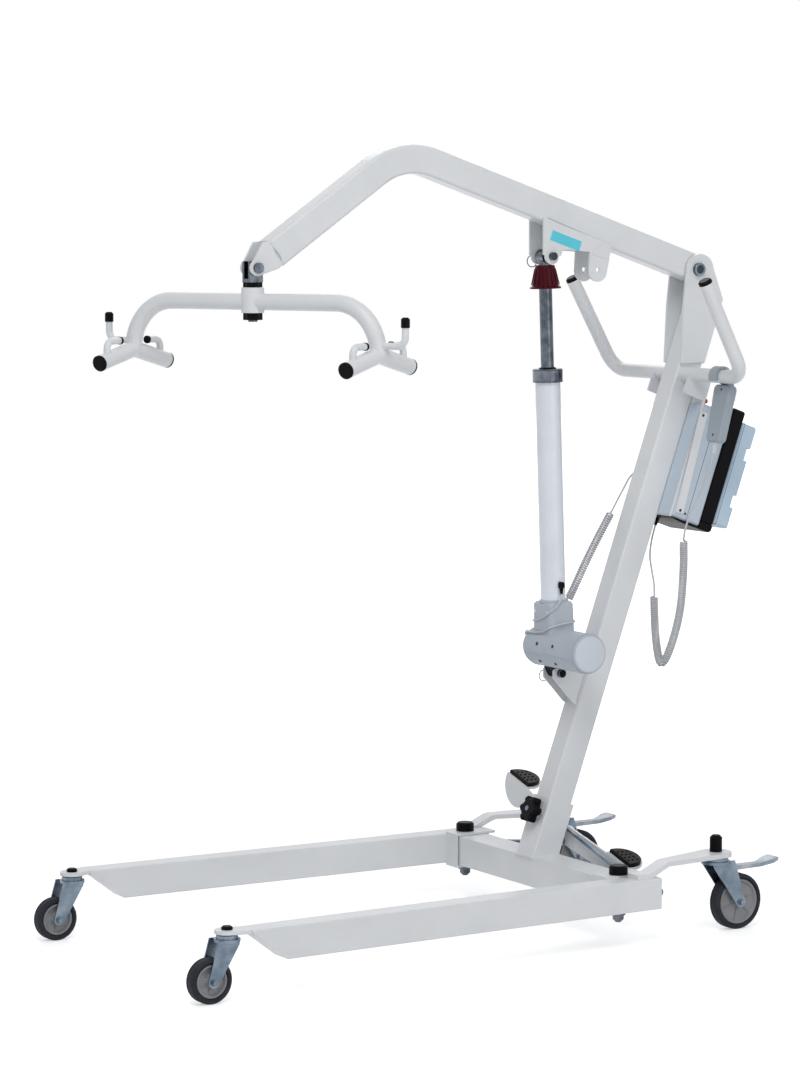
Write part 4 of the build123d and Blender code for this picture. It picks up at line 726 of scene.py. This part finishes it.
def wheel_face(end, hand, side, way, middle, wheel_r):
    """The axle's hexagon and the hub's rim ring and spokes on one face of a wheel."""
    tag = f"{end}_{hand}_{'out' if way == side else 'in'}"
    out = X_OUT * way
    plate(
        f"axle_hex_{tag}", body_of(f"caster_fork_{end}_{hand}"), "zinc_steel", circle(5.2, 6), 3.4,
        facing(middle + out * FORK_FACE, out), edge=0.5,
    )
    wheel = body_of(f"caster_hub_{end}_{hand}")
    rim = wheel_r - TYRE_T
    turned(
        f"rim_ring_{tag}", wheel, "hub_grey",
        [
            (rim - 3.4, 0.2), (rim - 2.6, 0.9), (rim - 1.0, 0.9),
            (rim - 0.4, 0.2), (rim - 0.4, -0.6), (rim - 3.4, -0.6),
        ],
        facing(middle + out * HUB_FACE, out), steps=64,
    )
    for spoke in range(SPOKES):
        angle = 2 * math.pi * spoke / SPOKES + SPOKE_TURN
        along = Vector((0, math.cos(angle), math.sin(angle)))
        foot = middle + out * SPOKE_FOOT[1] + along * SPOKE_FOOT[0]
        top = middle + out * SPOKE_TOP[1] + along * (rim - SPOKE_TOP[0])
        wire(f"hub_rib_{tag}_{spoke}", wheel, "hub_grey", straight(foot, top), 1.1)


for side, hand in ((1, "right"), (-1, "left")):
    for end, x, y, wheel_r in CASTERS:
        for way in (-1, 1):
            wheel_face(end, hand, side, way, Vector((side * x, y, wheel_r)), wheel_r)
    for i, line_x in enumerate((-TREAD_LINE_X, TREAD_LINE_X)):
        for end, x, y, wheel_r in CASTERS:
            tread = ring_of((side * x + line_x, y, wheel_r), wheel_r - 0.15, X_OUT, 48)
            wheel = body_of(f"caster_hub_{end}_{hand}")
            wire(f"tread_line_{end}_{hand}_{i}", wheel, "tyre_grey", tread, 0.35, "black_plastic", True)

# ---- pedal pads --------------------------------------------------------------------------
TILT = math.radians(16.7)
PEDAL_X = Vector((math.cos(TILT), 0, -math.sin(TILT)))
PEDAL_UP = Vector((math.sin(TILT), 0, math.cos(TILT)))
PAD_REACH, PAD_UP = 170.0, 36.0
STUD_ROWS, STUD_COLUMNS = 3, 4
STUD_STEP_X, STUD_STEP_Y, FIRST_ROW_Y = 11.0, 9.5, 10.0
for hand, way in (("right", 1), ("left", -1)):
    middle = PEDAL_PIN + PEDAL_X * way * PAD_REACH + PEDAL_UP * PAD_UP
    for row in range(STUD_ROWS):
        for column in range(STUD_COLUMNS):
            along = (column - (STUD_COLUMNS - 1) / 2) * STUD_STEP_X
            spot = middle + PEDAL_X * along + Vector((0, FIRST_ROW_Y + row * STUD_STEP_Y, 0))
            turned(
                f"pad_stud_{hand}_{row}_{column}", "foot_pedal", "black_plastic",
                [(0, 1.3), (1.6, 1.2), (2.4, 0.6), (2.6, -0.4), (0, -0.4)],
                facing(spot, PEDAL_UP), steps=16,
            )

# ---- control box and battery -------------------------------------------------------------
BOX_X = 60.0
SEAM_CORNER = 3.0
BOX_FOOT_S = 656
RAIL_T = 1.6


def box_seam(name, n, low, high, half_x, slot):
    """A thin dark seam line round a box at n behind the mast."""
    r = SEAM_CORNER
    corners = [
        (-half_x, low + r), (-half_x + r, low), (half_x - r, low), (half_x, low + r),
        (half_x, high - r), (half_x - r, high), (-half_x + r, high), (-half_x, high - r),
    ]
    data, spline = new_curve(name, "POLY", [on_mast(x, n, s) for x, s in corners])
    spline.use_cyclic_u = True
    round_section(data, 0.5, 2)
    place_piece(name, data, "hoist_frame", slot, "dark_steel")


box_seam("control_box_seam", 62.0, 655.0, 870.0, 59.9, "control_grey")
box_seam("battery_seam", 130.0, 670.0, 865.0, 57.9, "battery_grey")
for hand, way in (("right", 1), ("left", -1)):
    plate(
        f"box_rail_{hand}", "hoist_frame", "white_paint",
        [(0, 0), (17, 3), (6, 192), (-11, 190)], RAIL_T * way,
        at_place(on_mast(way * BOX_X, 34, 664), MAST_BACK, MAST_UP, X_OUT),
    )
    for i, (n, s) in enumerate(((42.5, 670.5), (31.5, 848.5))):
        spot = on_mast(way * (BOX_X + RAIL_T), n, s)
        screw(f"box_rail_screw_{hand}_{i}", "hoist_frame", spot, (way, 0, 0), 2.8)
    screw(f"box_screw_{hand}", "hoist_frame", on_mast(way * BOX_X, 56, 668), (way, 0, 0), 2.4)
    # A sheet in the control box's blue-grey, laid over the white bracket face beside the mast on each side:
    # painted shade, standing in for that face lying in shade.
    shade_sheet = [(24.0, BOX_FOOT_S), (56.5, BOX_FOOT_S), (56.5, 869), (24.0, 869)]
    if way < 0:
        shade_sheet = [(-x, s) for x, s in reversed(shade_sheet)]
    plate(
        f"box_shade_sheet_{hand}", "hoist_frame", "control_grey", shade_sheet, 1.4,
        at_place(on_mast(0, 24.9, 0), X_OUT, MAST_UP, -MAST_BACK), edge=0.5,
    )

# ---- glands and screws of the cords and the handset --------------------------------------
turned(
    "web_socket_gland", "hoist_frame", "black_plastic",
    [(0, 0), (6.0, 0), (6.6, 1.0), (6.6, 4.0), (4.6, 5.0), (3.4, 12.0), (2.6, 18.0), (0, 18.0)],
    facing(WEB_SOCKET, -MAST_BACK),
)
turned(
    "cord_socket_gland", "hoist_frame", "black_plastic",
    [(0, 0.5), (6.0, 0.5), (6.4, 0.0), (6.2, -3.0), (4.2, -4.0), (3.2, -11.0), (2.6, -17.0), (0, -17.0)],
    facing(CORD_SOCKET, MAST_UP),
)
turned(
    "handset_gland", "hoist_frame", "housing_grey",
    [
        (0, -1.0), (5.6, -1.0), (5.4, 3.2), (4.3, 3.8), (4.3, 4.8), (5.0, 5.4), (4.7, 8.0), (3.7, 8.6),
        (3.7, 9.6), (4.3, 10.2), (4.0, 12.8), (3.1, 13.4), (3.1, 14.4), (3.6, 15.0), (3.0, 20.0), (0, 20.0),
    ],
    facing(HANDSET_FOOT, HANDSET_DOWN), "pale_plastic",
)
for i, down in enumerate((9.0, 92.0)):
    spot = HANDSET_TOP + HANDSET_DOWN * down - HANDSET_OUT * 9.0
    screw(f"handset_screw_{i}", "hoist_frame", spot, -HANDSET_OUT, 2.2)

# ---- the carrier's lip, under the control box --------------------------------------------
LIP_X = 59.0
LIP = [
    (31.5, 655.3), (95.2, 655.3), (95.2, 666.3), (123.8, 666.3), (123.8, 656.0), (119.5, 651.4),
    (60.0, 650.6), (40.0, 651.8), (31.5, 653.8),
]
plate(
    "carrier_lip", "hoist_frame", "black_plastic", LIP, 2 * LIP_X,
    at_place(on_mast(-LIP_X, 0, 0), MAST_BACK, MAST_UP, X_OUT), edge=1.2,
)

# ---- knob and leg ends -------------------------------------------------------------------
LEG_SPLAY = math.radians(1.226)
turned(
    "knob_insert", "knob", "zinc_steel",
    [(0, 0.2), (2.4, 0.2), (2.8, 0.9), (4.0, 1.0), (4.6, 0.5), (4.8, -0.6), (0, -0.6)],
    facing(on_mast(0, -51.8, 73), -MAST_BACK),
)
for hand, way in (("right", 1), ("left", -1)):
    turned(
        f"leg_end_nut_{hand}", f"leg_{hand}", "zinc_steel",
        [
            (0, 13.4), (3.4, 12.6), (6.4, 10.2), (8.4, 6.6), (8.8, 4.2),
            (10.2, 3.4), (10.6, 2.4), (10.6, -0.4), (0, -0.4),
        ],
        facing((way * 284.6, 56.9, 90.0), (way * math.sin(LEG_SPLAY), math.cos(LEG_SPLAY), 0)),
    )

# ---- floor and backdrop ------------------------------------------------------------------
FLOOR_HALF = 14.0
GLOW_FROM, GLOW_FULL = 1.0, 2.6  # metres from the middle over which the floor turns white
WHITE = (1, 1, 1, 1)


def either(tree, one, other):
    """The greater of two values, which is 1 where either of them is."""
    node = tree.nodes.new("ShaderNodeMath")
    node.operation = "MAXIMUM"
    tree.links.new(one, node.inputs[0])
    tree.links.new(other, node.inputs[1])
    return node.outputs["Value"]


def mixed(tree, share, one, other):
    """A shader that is one where the share is 0 and the other where it is 1."""
    node = tree.nodes.new("ShaderNodeMixShader")
    tree.links.new(share, node.inputs["Fac"])
    tree.links.new(one, node.inputs[1])
    tree.links.new(other, node.inputs[2])
    return node.outputs["Shader"]


floor_mesh = bpy.data.meshes.new("floor")
floor_corners = [(x * FLOOR_HALF, y * FLOOR_HALF, 0) for x, y in ((-1, -1), (1, -1), (1, 1), (-1, 1))]
floor_mesh.from_pydata(floor_corners, [], [(0, 1, 2, 3)])
floor = bpy.data.objects.new("floor", floor_mesh)
bpy.context.scene.collection.objects.link(floor)
tree, shader, coords = new_material("floor_white")
tone = ramp(tree, noise(tree, coords, 3, 4), BLOTCH, (0.90, 0.90, 0.90), (0.93, 0.93, 0.93))
tree.links.new(tone, shader.inputs["Base Color"])
matt = map_range(tree, noise(tree, coords, 90, 3), NOISE_RANGE, (0.55, 0.70))
tree.links.new(matt, shader.inputs["Roughness"])
away = tree.nodes.new("ShaderNodeVectorMath")
away.operation = "LENGTH"
tree.links.new(coords, away.inputs[0])
glow = tree.nodes.new("ShaderNodeEmission")
glow.inputs["Color"].default_value = WHITE
strength = map_range(tree, away.outputs["Value"], (GLOW_FROM, GLOW_FULL), (0.45, 1.0))
tree.links.new(strength, glow.inputs["Strength"])
glowing = tree.nodes.new("ShaderNodeAddShader")
tree.links.new(shader.outputs["BSDF"], glowing.inputs[0])
tree.links.new(glow.outputs["Emission"], glowing.inputs[1])
paths = tree.nodes.new("ShaderNodeLightPath")
seen = either(tree, paths.outputs["Is Camera Ray"], paths.outputs["Is Glossy Ray"])
surface = mixed(tree, seen, shader.outputs["BSDF"], glowing.outputs["Shader"])
tree.links.new(surface, tree.nodes["Material Output"].inputs["Surface"])
floor.data.materials.append(MATERIALS["floor_white"])

world = bpy.data.worlds.new("studio")
bpy.context.scene.world = world
world.use_nodes = True
tree = world.node_tree
background = tree.nodes["Background"]
background.inputs["Color"].default_value = WHITE
lit = tree.nodes.new("ShaderNodeBackground")
lit.inputs["Color"].default_value = (0.95, 0.97, 1.0, 1)
lit.inputs["Strength"].default_value = 0.38
paths = tree.nodes.new("ShaderNodeLightPath")
seen = either(tree, paths.outputs["Is Camera Ray"], paths.outputs["Is Transmission Ray"])
seen = either(tree, seen, paths.outputs["Is Glossy Ray"])
surface = mixed(tree, seen, lit.outputs["Background"], background.outputs["Background"])
tree.links.new(surface, tree.nodes["World Output"].inputs["Surface"])

# ---- lamps -------------------------------------------------------------------------------
LAMP_SIZE = 2.4


def lamp(name, place, aim, power):
    """A soft square studio lamp that points at a place."""
    data = bpy.data.lights.new(name, "AREA")
    data.size = LAMP_SIZE
    data.energy = power
    light = bpy.data.objects.new(name, data)
    bpy.context.scene.collection.objects.link(light)
    light.location = place
    light.rotation_euler = (Vector(aim) - Vector(place)).to_track_quat("-Z", "Y").to_euler()


lamp("key", (2.4, -2.2, 4.6), (0, -0.2, 0.6), 88)
lamp("fill", (4.2, 0.6, 1.8), (0, 0, 0.7), 23)
lamp("back", (-3.0, 1.6, 3.4), (0, 0, 0.8), 34)
bpy.context.scene.view_settings.view_transform = "Standard"
